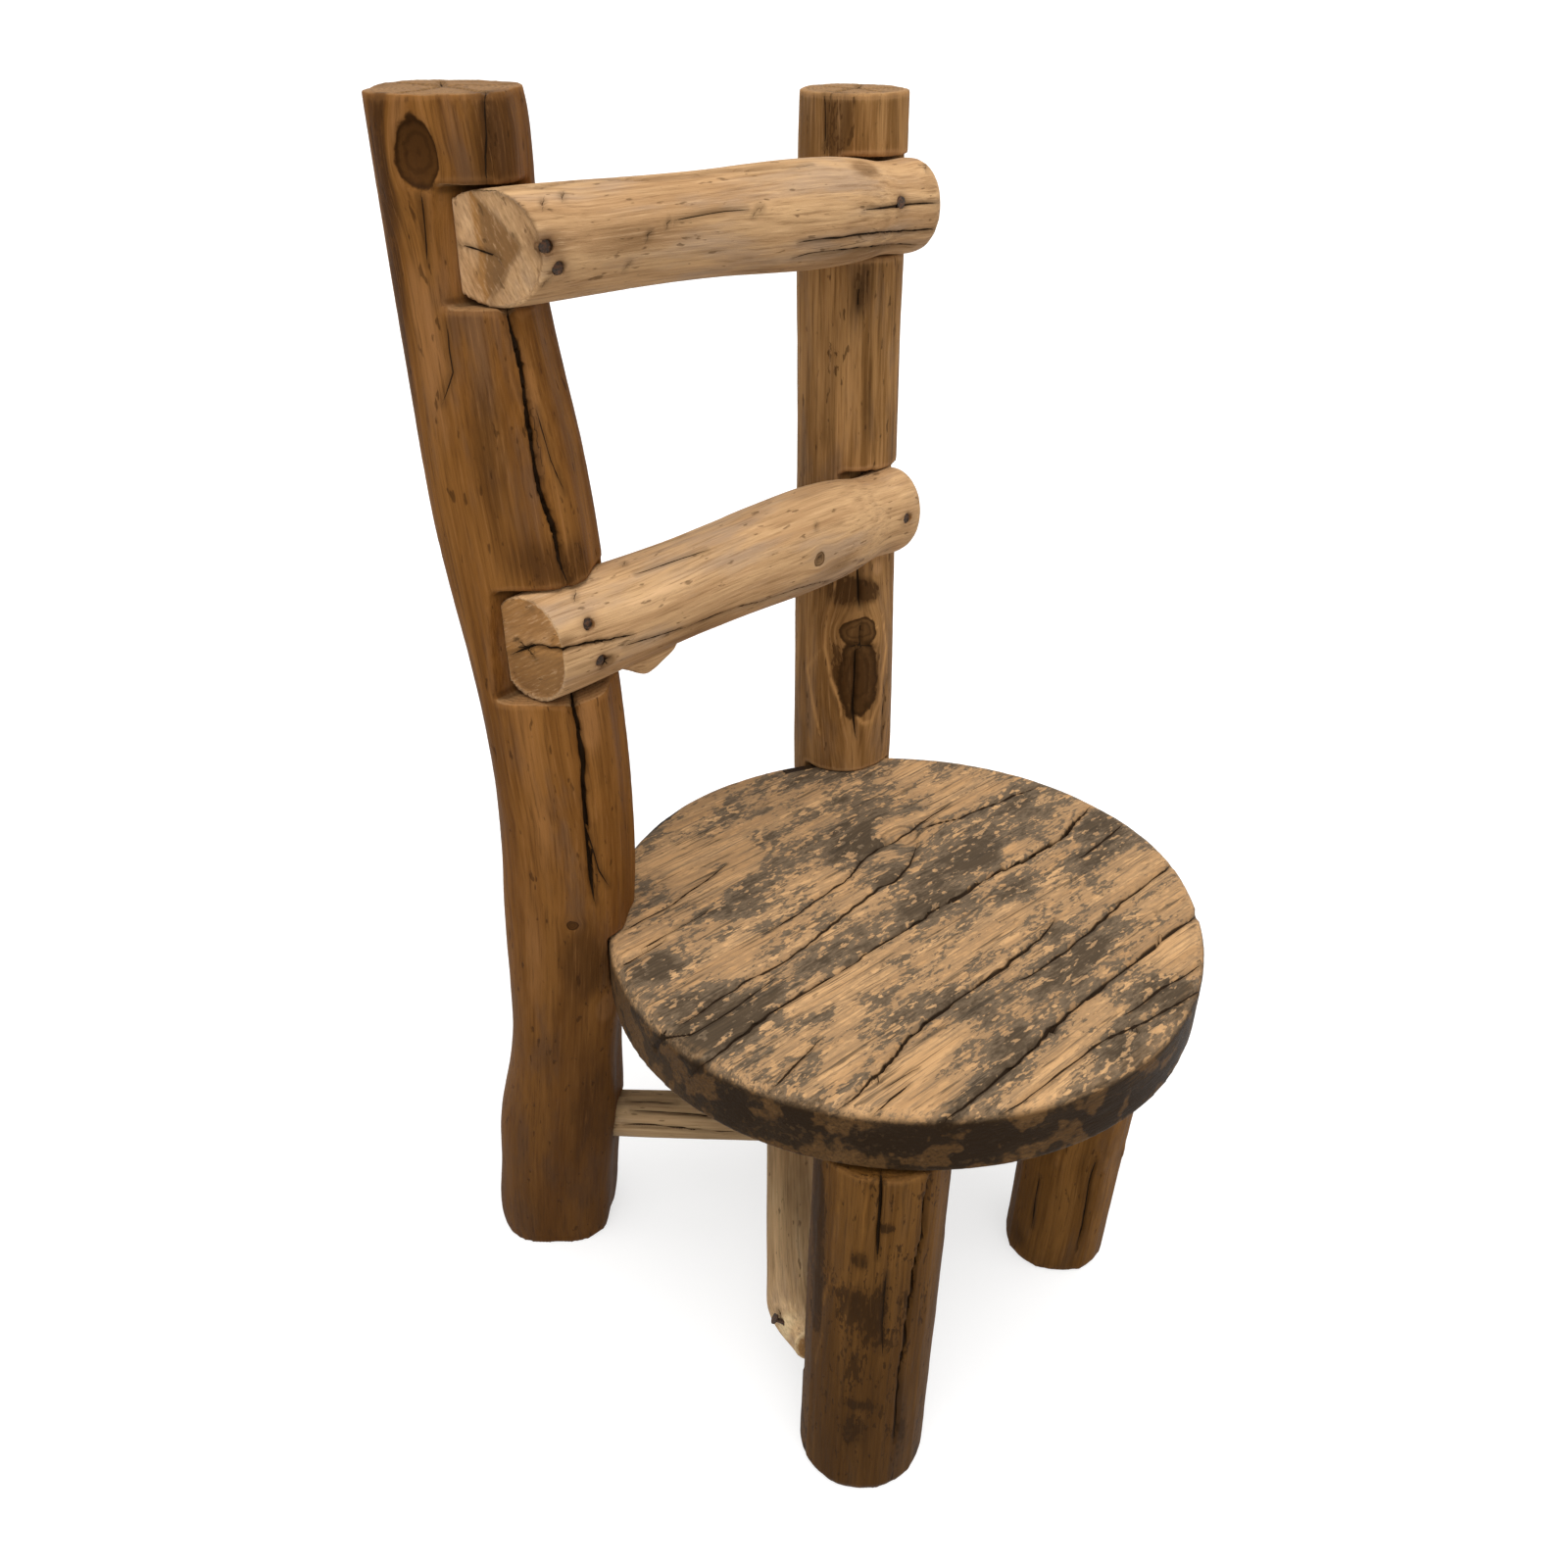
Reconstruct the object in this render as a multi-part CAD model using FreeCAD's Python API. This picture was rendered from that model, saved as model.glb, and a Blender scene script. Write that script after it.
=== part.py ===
import FreeCAD, Part
import math
import os

Vec = FreeCAD.Vector
UP = Vec(0, 0, 1)
RIGHT = Vec(1, 0, 0)
BACK = Vec(0, 1, 0)

# Plan positions are measured from the seat's middle: side to the right, back away from the sitter's knees.
# Heights are measured from the floor. The finished chair is moved so that the origin is under its middle.

# Seat slab: one thick round piece with a worn top edge and a bevelled underside.
seat_diameter = 455.0
seat_thickness = 54.0
seat_top_height = 390.0
seat_edge_round = 10.0
seat_under_bevel = 5.0
SEAT_OUTLINE_SHARES = (
    1.005, 0.995, 0.99, 0.99, 1.005, 1.015, 1.0, 1.005,
    1.01, 1.005, 1.0, 1.005, 1.01, 1.005, 1.005, 1.015,
)
# Drying cracks across the seat's top: V grooves that lean back as they go down.
seat_crack_width = 3.2
seat_crack_depth = 9.0
seat_crack_lean_share = 0.6
# Each crack's points: right and back of the middle, width and depth.
SEAT_CRACK_SHARES = (
    (
        (-1.06, -0.16, 0.6, 2.0), (-0.82, -0.13, 0.6, 0.8), (-0.43, -0.12, 0.6, 0.8), (-0.03, -0.11, 0.7, 0.8),
        (0.4, -0.1, 0.9, 1.0), (0.61, -0.12, 1.2, 1.2), (0.76, -0.11, 1.3, 1.2), (0.95, -0.06, 0.3, 0.4),
    ),
    (
        (-0.92, -0.57, 0.6, 2.0), (-0.64, -0.52, 0.7, 0.9), (-0.38, -0.47, 0.7, 0.9), (0.0, -0.45, 0.7, 0.8),
        (0.3, -0.42, 0.1, 0.1),
    ),
    (
        (-0.01, -0.54, 0.1, 0.1), (0.15, -0.53, 0.6, 0.8), (0.37, -0.52, 0.6, 0.8), (0.61, -0.49, 0.6, 0.8),
        (0.95, -0.48, 0.5, 1.2),
    ),
    (
        (-0.7, -0.79, 0.6, 2.0), (-0.47, -0.78, 0.7, 0.9), (-0.28, -0.76, 0.7, 0.9), (0.06, -0.72, 0.7, 0.9),
        (0.51, -0.71, 0.6, 0.8), (0.78, -0.71, 0.5, 1.2),
    ),
    (
        (-1.03, 0.0, 0.5, 1.2), (-0.75, 0.04, 0.5, 0.6), (-0.32, 0.07, 0.5, 0.6), (0.07, 0.11, 0.5, 0.6),
        (0.29, 0.2, 0.1, 0.1),
    ),
)

# Left back post: a thick squarish log, bowed forward at seat height.
left_post_height = 953.0
left_post_width = 104.0
left_post_depth = 96.0
left_post_turn = -42.0
left_post_side = -196.0
left_post_back = 236.0
left_post_bow = 80.0
# Height, share of the bow, width and depth at each station.
LEFT_POST_STATION_SHARES = (
    (0.0, 0.0, 0.94, 0.96),
    (0.015, 0.0, 0.99, 0.99),
    (0.058, 0.07, 1.0, 1.0),
    (0.15, 0.28, 0.99, 0.99),
    (0.19, 0.38, 0.95, 0.97),
    (0.24, 0.52, 0.865, 0.93),
    (0.35, 0.78, 0.875, 0.92),
    (0.42, 0.90, 0.91, 0.93),
    (0.53, 1.0, 0.885, 0.95),
    (0.63, 0.89, 0.895, 0.97),
    (0.71, 0.71, 0.94, 0.98),
    (0.76, 0.61, 0.945, 0.98),
    (0.83, 0.46, 0.88, 0.96),
    (0.90, 0.34, 0.825, 0.94),
    (1.0, 0.29, 0.825, 0.94),
)
# Drying cracks down the post's face, towards its heart. Each point: height, side of the face's middle, girth.
left_post_crack_width = 4.0
left_post_crack_depth = 10.0
LEFT_POST_CRACK_SHARES = (
    (
        (0.886, 0.68, 0.1), (0.846, 0.72, 0.7), (0.8, 0.64, 0.9), (0.77, 0.62, 1.0), (0.743, 0.69, 1.0),
        (0.69, 0.73, 0.9),
    ),
    (
        (0.65, 0.5, 0.9), (0.608, 0.56, 1.0), (0.576, 0.56, 1.0), (0.536, 0.47, 0.9), (0.491, 0.49, 0.7),
        (0.45, 0.54, 0.1),
    ),
)
# The hollow of a lost knot near the top of the same face.
left_post_knot_width = 24.0
left_post_knot_height = 38.0
left_post_knot_depth = 5.0
left_post_knot_level_share = 0.968
left_post_knot_side_share = -0.21

# Right back post: a slimmer, straight log.
right_post_height = 934.0
right_post_width = 84.0
right_post_depth = 86.0
right_post_side = 129.5
right_post_back = 205.0
right_post_bow = 4.0
RIGHT_POST_STATION_SHARES = (
    (0.0, 0.0, 0.95, 0.95),
    (0.012, 0.0, 1.0, 1.0),
    (0.2, 0.5, 1.01, 1.01),
    (0.4, 1.0, 1.0, 1.0),
    (0.6, 0.5, 0.965, 0.965),
    (0.8, 0.0, 0.93, 0.93),
    (1.0, 0.0, 0.91, 0.91),
)

# Upper rail: a round log lapped into the front of both posts.
upper_rail_height = 67.0
upper_rail_depth = 60.0
upper_rail_left_end = -224.0
upper_rail_left_back = 162.0
upper_rail_left_level = 873.0
upper_rail_right_end = 157.5
upper_rail_right_back = 166.0
upper_rail_right_level = 858.0
upper_rail_lap = 19.0
upper_rail_arch = 1.5
upper_rail_bevel = 34.0
UPPER_RAIL_STATION_SHARES = (
    (0.0, 0.0, 0.95, 0.95),
    (0.12, 0.3, 0.99, 1.0),
    (0.5, 1.0, 0.99, 1.0),
    (0.85, 0.3, 0.98, 0.98),
    (0.955, 0.0, 0.97, 0.96),
    (0.988, 0.0, 0.91, 0.91),
    (1.0, 0.0, 0.8, 0.8),
)
# Each nail's post, its place across the post and its height on the rail.
UPPER_RAIL_NAIL_SHARES = (("left", 0.18, 0.1), ("left", 0.34, -0.28), ("right", -0.4, 0.22))

# Lower rail: a like log, let deeper into the left post, with the stub of a branch below.
lower_rail_height = 75.0
lower_rail_depth = 62.0
lower_rail_left_end = -232.0
lower_rail_left_back = 134.0
lower_rail_left_level = 631.0
lower_rail_right_end = 150.5
lower_rail_right_back = 165.0
lower_rail_right_level = 628.0
lower_rail_lap = 20.0
lower_rail_arch = 2.0
lower_rail_bevel = 12.0
LOWER_RAIL_STATION_SHARES = (
    (0.0, 0.0, 0.96, 0.95),
    (0.15, 0.4, 1.0, 1.0),
    (0.5, 1.0, 0.98, 1.0),
    (0.85, 0.4, 0.94, 0.96),
    (0.955, 0.0, 0.93, 0.94),
    (0.988, 0.0, 0.88, 0.89),
    (1.0, 0.0, 0.77, 0.78),
)
LOWER_RAIL_NAIL_SHARES = (("left", 0.0, 0.45), ("left", 0.12, -0.28), ("right", 0.0, 0.05))
branch_stub_width = 60.0
branch_stub_depth = 21.0
branch_stub_length = 50.0
branch_stub_front = 5.0
branch_stub_along_share = 0.268
branch_stub_lean_share = 0.06
# Length, sway, width and depth of the stub from the rail's heart to its tip.
BRANCH_STUB_STATION_SHARES = (
    (0.0, 0.0, 1.0, 1.0),
    (0.62, 0.0, 1.0, 0.95),
    (0.76, 0.0, 0.88, 0.85),
    (0.84, 0.0, 0.62, 0.7),
    (0.91, 0.0, 0.4, 0.55),
    (0.97, 0.0, 0.2, 0.35),
    (1.0, 0.0, 0.08, 0.2),
)

# Front legs: short hewn logs. Facets are listed as turns from the right and radii.
left_leg_diameter = 100.0
left_leg_foot_side = -152.0
left_leg_foot_back = -122.5
left_leg_top_side = -142.5
left_leg_top_back = -122.5
LEFT_LEG_FACET_SHARES = (
    (0.0, 0.99), (0.11, 0.98), (0.235, 0.97), (0.355, 0.98), (0.46, 1.0),
    (0.565, 0.98), (0.67, 0.98), (0.77, 1.01), (0.89, 1.05),
)
right_leg_diameter = 94.0
right_leg_foot_side = 122.0
right_leg_foot_back = -100.0
right_leg_top_side = 137.0
right_leg_top_back = -108.0
RIGHT_LEG_FACET_SHARES = (
    (0.03, 0.96), (0.16, 0.99), (0.3, 0.97), (0.43, 1.0),
    (0.55, 0.97), (0.7, 0.98), (0.79, 0.98), (0.905, 1.0),
)
# Height and girth of a leg from its foot to its shoulder.
LEG_STATION_SHARES = ((0.0, 0.95), (0.02, 1.0), (0.55, 1.0), (1.0, 0.98))
leg_tenon_diameter = 34.0
leg_tenon_length = 32.0

# Left diagonal stretcher: from the left back post to the front right leg, tenoned into both.
tenoned_stretcher_diameter = 40.0
tenoned_stretcher_level = 138.0
tenoned_stretcher_tenon_diameter = 26.0
tenoned_stretcher_tenon_length = 30.0
tenoned_stretcher_housing_depth = 6.0
tenoned_stretcher_housing_share = 1.08
TENONED_STRETCHER_STATION_SHARES = (
    (0.0, 0.0, 0.99, 0.98),
    (0.06, 0.0, 1.0, 1.0),
    (0.5, 0.0, 1.03, 1.0),
    (0.94, 0.0, 0.98, 1.0),
    (1.0, 0.0, 0.96, 0.97),
)

# Right diagonal stretcher: passes under the other one, lapped on the flanks of the right post and left leg.
lapped_stretcher_diameter = 46.0
lapped_stretcher_lap = 18.0
lapped_stretcher_stand = 3.0
lapped_stretcher_near_reach = -12.0
lapped_stretcher_far_reach = 26.0
LAPPED_STRETCHER_STATION_SHARES = (
    (0.0, 0.48, 0.7, 0.5),
    (0.03, 0.3, 0.88, 0.69),
    (0.085, 0.02, 0.98, 0.97),
    (0.13, 0.0, 1.0, 1.0),
    (0.2, 0.0, 1.0, 1.0),
    (0.5, 0.0, 1.0, 1.0),
    (0.8, 0.0, 1.0, 1.0),
    (0.92, 0.0, 0.98, 0.98),
    (0.97, 0.0, 0.9, 0.9),
    (1.0, 0.0, 0.72, 0.72),
)

# The nails through the laps slant down from the level. The one at the leg stands back from its middle.
stretcher_nail_slant = 35.0
stretcher_nail_setback_share = 0.6

# The back of a rail or stretcher is cut flat this far each way from the middle of what it crosses.
lap_reach_share = 0.62

# Iron nails and the long spikes that hold the seat's edge in the posts.
nail_diameter = 5.0
nail_head_diameter = 8.0
nail_head_thickness = 2.5
nail_sink = 2.0
nail_grip = 26.0
spike_diameter = 7.0
spike_head_diameter = 15.0
spike_head_thickness = 3.5
spike_grip = 48.0
spike_seat_share = 0.8

# Wedges that spread the blind tenons in the seat.
wedge_thickness = 4.0
wedge_tip_thickness = 1.5
wedge_length = 18.0
wedge_chord_share = 0.8

# Fits. One overrun serves all cuts.
wood_clearance = 0.3
rail_housing_clearance = 0.8
nail_clearance = 0.15
stretcher_crossing_gap = 0.7
# How far a crack's cutter stands out of the surface that it cuts.
crack_lift = 4.0
overrun = 60.0

# Shapes of sections: 2 is an ellipse, more is squarer.
SQUARE_LOG_POWER = 3.0
ROUND_LOG_POWER = 2.15
SECTION_POINTS = 12


def signed_power(value, power):
    return math.copysign(abs(value) ** power, value)


def log_section(centre, across, deep, half_width, half_depth, power):
    """A closed smooth outline between a rectangle and an ellipse."""
    points = []
    for step in range(SECTION_POINTS):
        angle = math.tau * step / SECTION_POINTS
        x = half_width * signed_power(math.cos(angle), 2 / power)
        y = half_depth * signed_power(math.sin(angle), 2 / power)
        points.append(centre + across * x + deep * y)
    curve = Part.BSplineCurve()
    curve.interpolate(points, PeriodicFlag=True)
    return Part.Wire(curve.toShape())


def log_frame(start, finish, across):
    """Unit directions of a log: along it, across its width and through its depth."""
    along = (finish - start).normalize()
    square = (across - along * across.dot(along)).normalize()
    return along, square, along.cross(square)


def log_between(start, finish, across, width, depth, sway, stations, power):
    """A log lofted through stations of length, sway, width and depth shares."""
    along, square, deep = log_frame(start, finish, across)
    reach = (finish - start).Length
    wires = []
    for length_share, sway_share, width_share, depth_share in stations:
        centre = start + along * (reach * length_share) + sway * sway_share
        wires.append(log_section(centre, square, deep, width * width_share / 2, depth * depth_share / 2, power))
    return Part.makeLoft(wires, True, False)


def block(origin, along, across, deep, low, high):
    """A box in a log's own directions, from its low to its high corner."""
    size = high - low
    box = Part.makeBox(size.x, size.y, size.z, low)
    box.Placement = FreeCAD.Placement(origin, FreeCAD.Rotation(along, across, deep, "XYZ"))
    return box


def rod(start, direction, length, diameter):
    return Part.makeCylinder(diameter / 2, length, start, direction)


def station_value(stations, share, column):
    """A station column at a share of the length, between the stations around it."""
    for lower, upper in zip(stations, stations[1:]):
        if share <= upper[0]:
            mix = (share - lower[0]) / (upper[0] - lower[0])
            return lower[column] + (upper[column] - lower[column]) * mix
    return stations[-1][column]


def left_post_middle(height):
    sway = station_value(LEFT_POST_STATION_SHARES, height / left_post_height, 1)
    return Vec(left_post_side, left_post_back - left_post_bow * sway, height)


def left_post_face(height_share, side_share):
    """A point on the left post's front face, and the post's heart at that height."""
    heart = left_post_middle(left_post_height * height_share)
    across = FreeCAD.Rotation(UP, left_post_turn).multVec(RIGHT)
    half_width = left_post_width / 2 * station_value(LEFT_POST_STATION_SHARES, height_share, 2)
    half_depth = left_post_depth / 2 * station_value(LEFT_POST_STATION_SHARES, height_share, 3)
    bulge = (1 - abs(side_share) ** SQUARE_LOG_POWER) ** (1 / SQUARE_LOG_POWER)
    return heart + across * (half_width * side_share) + across.cross(UP) * (half_depth * bulge), heart


def crack_cutter(stations):
    """A V-shaped blade through stations of a mouth, a tip, a sideways direction and a width."""
    wires = []
    for mouth, tip, sideways, width in stations:
        stretch = 1 + crack_lift / (mouth - tip).Length
        top = tip + (mouth - tip) * stretch
        half = sideways * (width * stretch / 2)
        wires.append(Part.makePolygon([top - half, tip, top + half, top - half]))
    return Part.makeLoft(wires, True, True)


def seat_cracks():
    radius = seat_diameter / 2
    lean = BACK * seat_crack_lean_share - UP
    cutters = []
    for points in SEAT_CRACK_SHARES:
        stations = []
        for right_share, back_share, width_share, depth_share in points:
            mouth = Vec(radius * right_share, radius * back_share, seat_top_height)
            tip = mouth + lean * (seat_crack_depth * depth_share)
            stations.append((mouth, tip, BACK, seat_crack_width * width_share))
        cutters.append(crack_cutter(stations))
    return cutters


def left_post_cracks():
    cutters = []
    for points in LEFT_POST_CRACK_SHARES:
        stations = []
        for height_share, side_share, girth_share in points:
            mouth, heart = left_post_face(height_share, side_share)
            inward = (heart - mouth).normalize()
            tip = mouth + inward * (left_post_crack_depth * girth_share)
            stations.append((mouth, tip, UP.cross(inward), left_post_crack_width * girth_share))
        cutters.append(crack_cutter(stations))
    return cutters


def left_post_knot():
    """A shallow oval bowl, sunk in the left post's face."""
    place, heart = left_post_face(left_post_knot_level_share, left_post_knot_side_share)
    radius = (left_post_knot_width ** 2 / 4 + left_post_knot_depth ** 2) / (2 * left_post_knot_depth)
    outward = (place - heart).normalize()
    stretch = FreeCAD.Matrix()
    stretch.scale(1, 1, left_post_knot_height / left_post_knot_width)
    bowl = Part.makeSphere(radius).transformGeometry(stretch)
    bowl.translate(place + outward * (radius - left_post_knot_depth))
    return bowl


def right_post_middle(height):
    sway = station_value(RIGHT_POST_STATION_SHARES, height / right_post_height, 1)
    return Vec(right_post_side, right_post_back - right_post_bow * sway, height)


def leg_middle(foot_side, foot_back, top_side, top_back, height):
    share = height / seat_underside
    return Vec(foot_side + (top_side - foot_side) * share, foot_back + (top_back - foot_back) * share, height)


def left_leg_middle(height):
    return leg_middle(left_leg_foot_side, left_leg_foot_back, left_leg_top_side, left_leg_top_back, height)


def right_leg_middle(height):
    return leg_middle(right_leg_foot_side, right_leg_foot_back, right_leg_top_side, right_leg_top_back, height)


def seat_blank(growth):
    """The slab's outline, grown for a housing, through its thickness."""
    points = []
    for step, share in enumerate(SEAT_OUTLINE_SHARES):
        angle = math.tau * step / len(SEAT_OUTLINE_SHARES)
        radius = seat_diameter / 2 * share + growth
        points.append(Vec(radius * math.cos(angle), radius * math.sin(angle), seat_underside - growth))
    curve = Part.BSplineCurve()
    curve.interpolate(points, PeriodicFlag=True)
    face = Part.Face(Part.Wire(curve.toShape()))
    return face.extrude(UP * (seat_thickness + 2 * growth))


def rim_edges(solid, height):
    rim = []
    for edge in solid.Edges:
        box = edge.BoundBox
        if box.ZLength < wood_clearance and abs(box.ZMin - height) < wood_clearance:
            rim.append(edge)
    return rim


def hewn_leg(middle, diameter, facets):
    """A faceted leg with a flat foot and a round tenon on its shoulder."""
    shoulder = seat_underside - wood_clearance
    wires = []
    for height_share, girth_share in LEG_STATION_SHARES:
        centre = middle(shoulder * height_share)
        corners = []
        for turn_share, radius_share in facets:
            radius = diameter / 2 * radius_share * girth_share
            angle = math.tau * turn_share
            corners.append(centre + Vec(radius * math.cos(angle), radius * math.sin(angle), 0))
        wires.append(Part.makePolygon(corners + corners[:1]))
    body = Part.makeLoft(wires, True, True)
    root = middle(shoulder - leg_tenon_length / 2)
    top = middle(seat_underside)
    root = Vec(top.x, top.y, root.z)
    tenon = rod(root, UP, seat_underside + leg_tenon_length - root.z, leg_tenon_diameter)
    return body.fuse(tenon).removeSplitter()


def tenon_wedge(middle, growth):
    """A thin wedge down the end of a tenon, standing across the seat's grain."""
    top = middle(seat_underside) + UP * leg_tenon_length
    half = wedge_thickness / 2 + growth
    tip = wedge_tip_thickness / 2 + growth
    depth = wedge_length + growth
    profile = [Vec(-half, 0, 0), Vec(half, 0, 0), Vec(tip, 0, -depth), Vec(-tip, 0, -depth), Vec(-half, 0, 0)]
    length = leg_tenon_diameter * wedge_chord_share + 2 * growth
    face = Part.Face(Part.makePolygon([top - BACK * (length / 2) + point for point in profile]))
    return face.extrude(BACK * length)


def nail(head, direction, diameter, head_diameter, head_thickness, length, growth):
    """A nail with a flat head; grown, with an open mouth, it is the nail's hole."""
    shank = rod(head, direction, length + growth, diameter + 2 * growth)
    mouth = overrun if growth else 0
    cap_length = head_thickness + growth + mouth
    cap = rod(head - direction * mouth, direction, cap_length, head_diameter + 2 * growth)
    return cap.fuse(shank).removeSplitter()


class Rail:
    """A rail's line, section and laps, and what it takes out of the posts."""

    def __init__(self, start, finish, height, depth, lap, arch, bevel, stations, nail_places):
        self.start = start
        self.finish = finish
        self.height = height
        self.depth = depth
        self.lap = lap
        self.arch = arch
        self.bevel = bevel
        self.stations = stations
        self.nail_places = nail_places
        self.along, self.across, self.deep = log_frame(start, finish, UP)

    def share_at_side(self, side):
        return (side - self.start.x) / (self.finish.x - self.start.x)

    def middle_at_side(self, side):
        share = self.share_at_side(side)
        sway = station_value(self.stations, share, 1)
        return self.start + (self.finish - self.start) * share + UP * (self.arch * sway)

    def half_height_at(self, side):
        return self.height / 2 * station_value(self.stations, self.share_at_side(side), 2)

    def front_at(self, side, rise_share):
        """A point on the rail's front face."""
        half_depth = self.depth / 2 * station_value(self.stations, self.share_at_side(side), 3)
        bulge = (1 - abs(rise_share) ** ROUND_LOG_POWER) ** (1 / ROUND_LOG_POWER)
        rise = self.across * (self.half_height_at(side) * rise_share)
        return self.middle_at_side(side) + rise + self.deep * (half_depth * bulge)

    def log(self):
        body = log_between(
            self.start, self.finish, UP, self.height, self.depth, UP * self.arch, self.stations, ROUND_LOG_POWER)
        slope = Vec(self.bevel, 0, 0) + self.deep * self.depth
        corner = self.start - self.deep * (self.depth / 2)
        outward = slope.cross(UP).normalize() * -1
        rotation = FreeCAD.Rotation(slope, UP, outward, "XYZ")
        size = self.depth + overrun
        waste = Part.makeBox(2 * size, 2 * size, size, Vec(-size, -size, 0))
        waste.Placement = FreeCAD.Placement(corner, rotation)
        return body.cut(waste)

    def lap_block(self, side, post_width):
        """The back of the rail that is cut away where it crosses a post."""
        reach = post_width * lap_reach_share
        low = Vec(-reach, -self.height, -self.depth - overrun)
        high = Vec(reach, self.height, -self.lap)
        return block(self.middle_at_side(side), self.along, self.across, self.deep, low, high)

    def housing(self, side, post_width):
        """The notch that the rail lies in, cut across the front of a post."""
        edges = (side - post_width / 2, side, side + post_width / 2)
        half = max(self.half_height_at(edge) for edge in edges) + rail_housing_clearance
        reach = post_width / 2 + overrun
        low = Vec(-reach, -half, -self.lap - wood_clearance)
        high = Vec(reach, half, self.depth + overrun)
        return block(self.middle_at_side(side), self.along, self.across, self.deep, low, high)

    def nails(self, growth):
        """Nails from the rail's front face into each post."""
        posts = {"left": (left_post_side, left_post_width), "right": (right_post_side, right_post_width)}
        length = self.depth / 2 + self.lap + nail_grip
        made = []
        for post, side_share, rise_share in self.nail_places:
            middle, width = posts[post]
            head = self.front_at(middle + width / 2 * side_share, rise_share) - self.deep * nail_sink
            made.append(nail(
                head, self.deep * -1, nail_diameter, nail_head_diameter, nail_head_thickness, length, growth))
        return made


def branch_stub(rail):
    """The cut stub of a branch under the lower rail."""
    side = rail.start.x + (rail.finish.x - rail.start.x) * branch_stub_along_share
    root = rail.middle_at_side(side) + rail.deep * branch_stub_front
    direction = (UP * -1 + rail.along * -branch_stub_lean_share).normalize()
    return log_between(
        root, root + direction * branch_stub_length, rail.along, branch_stub_width, branch_stub_depth, Vec(),
        BRANCH_STUB_STATION_SHARES, ROUND_LOG_POWER)


def seat_spike(middle, post_width, growth):
    """A long nail from the outside of a post into the seat's edge."""
    level = seat_top_height - seat_thickness / 2
    post = middle(level)
    inward = (Vec(0, 0, level) - post).normalize()
    setback = post_width / 2 * spike_seat_share
    rim = (post - Vec(0, 0, level)).Length - seat_diameter / 2
    return nail(
        post - inward * setback, inward, spike_diameter, spike_head_diameter, spike_head_thickness,
        setback + rim + spike_grip, growth)


def save(name, shape):
    shape.exportStep("parts/" + name + ".step")


seat_underside = seat_top_height - seat_thickness

# The rails.
upper = Rail(
    Vec(upper_rail_left_end, upper_rail_left_back, upper_rail_left_level),
    Vec(upper_rail_right_end, upper_rail_right_back, upper_rail_right_level),
    upper_rail_height, upper_rail_depth, upper_rail_lap, upper_rail_arch, upper_rail_bevel,
    UPPER_RAIL_STATION_SHARES, UPPER_RAIL_NAIL_SHARES)
lower = Rail(
    Vec(lower_rail_left_end, lower_rail_left_back, lower_rail_left_level),
    Vec(lower_rail_right_end, lower_rail_right_back, lower_rail_right_level),
    lower_rail_height, lower_rail_depth, lower_rail_lap, lower_rail_arch, lower_rail_bevel,
    LOWER_RAIL_STATION_SHARES, LOWER_RAIL_NAIL_SHARES)
upper_rail = upper.log()
lower_rail = lower.log().fuse(branch_stub(lower)).removeSplitter()
for rail_side, post_width in ((left_post_side, left_post_width), (right_post_side, right_post_width)):
    upper_rail = upper_rail.cut(upper.lap_block(rail_side, post_width))
    lower_rail = lower_rail.cut(lower.lap_block(rail_side, post_width))
upper_rail = upper_rail.cut(upper.nails(nail_clearance))
lower_rail = lower_rail.cut(lower.nails(nail_clearance))

# The posts, before they are notched.
left_post = log_between(
    Vec(left_post_side, left_post_back, 0), Vec(left_post_side, left_post_back, left_post_height),
    FreeCAD.Rotation(UP, left_post_turn).multVec(RIGHT),
    left_post_width, left_post_depth, BACK * -left_post_bow, LEFT_POST_STATION_SHARES, SQUARE_LOG_POWER)
right_post = log_between(
    Vec(right_post_side, right_post_back, 0), Vec(right_post_side, right_post_back, right_post_height), RIGHT,
    right_post_width, right_post_depth, BACK * -right_post_bow, RIGHT_POST_STATION_SHARES, ROUND_LOG_POWER)

# The legs, before they are notched.
left_leg = hewn_leg(left_leg_middle, left_leg_diameter, LEFT_LEG_FACET_SHARES)
right_leg = hewn_leg(right_leg_middle, right_leg_diameter, RIGHT_LEG_FACET_SHARES)

# The tenoned stretcher, with its shoulders let a little way into the post and the leg.
stretcher_from = left_post_middle(tenoned_stretcher_level)
stretcher_to = right_leg_middle(tenoned_stretcher_level)
stretcher_along = (stretcher_to - stretcher_from).normalize()
post_standoff = left_post_width / 2 - tenoned_stretcher_housing_depth
leg_standoff = right_leg_diameter / 2 - tenoned_stretcher_housing_depth
left_shoulder = stretcher_from + stretcher_along * post_standoff
right_shoulder = stretcher_to - stretcher_along * leg_standoff
tenon_overlap = tenoned_stretcher_tenon_length / 2
tenoned_stretcher = log_between(
    left_shoulder, right_shoulder, UP, tenoned_stretcher_diameter, tenoned_stretcher_diameter, Vec(),
    TENONED_STRETCHER_STATION_SHARES, ROUND_LOG_POWER)
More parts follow.
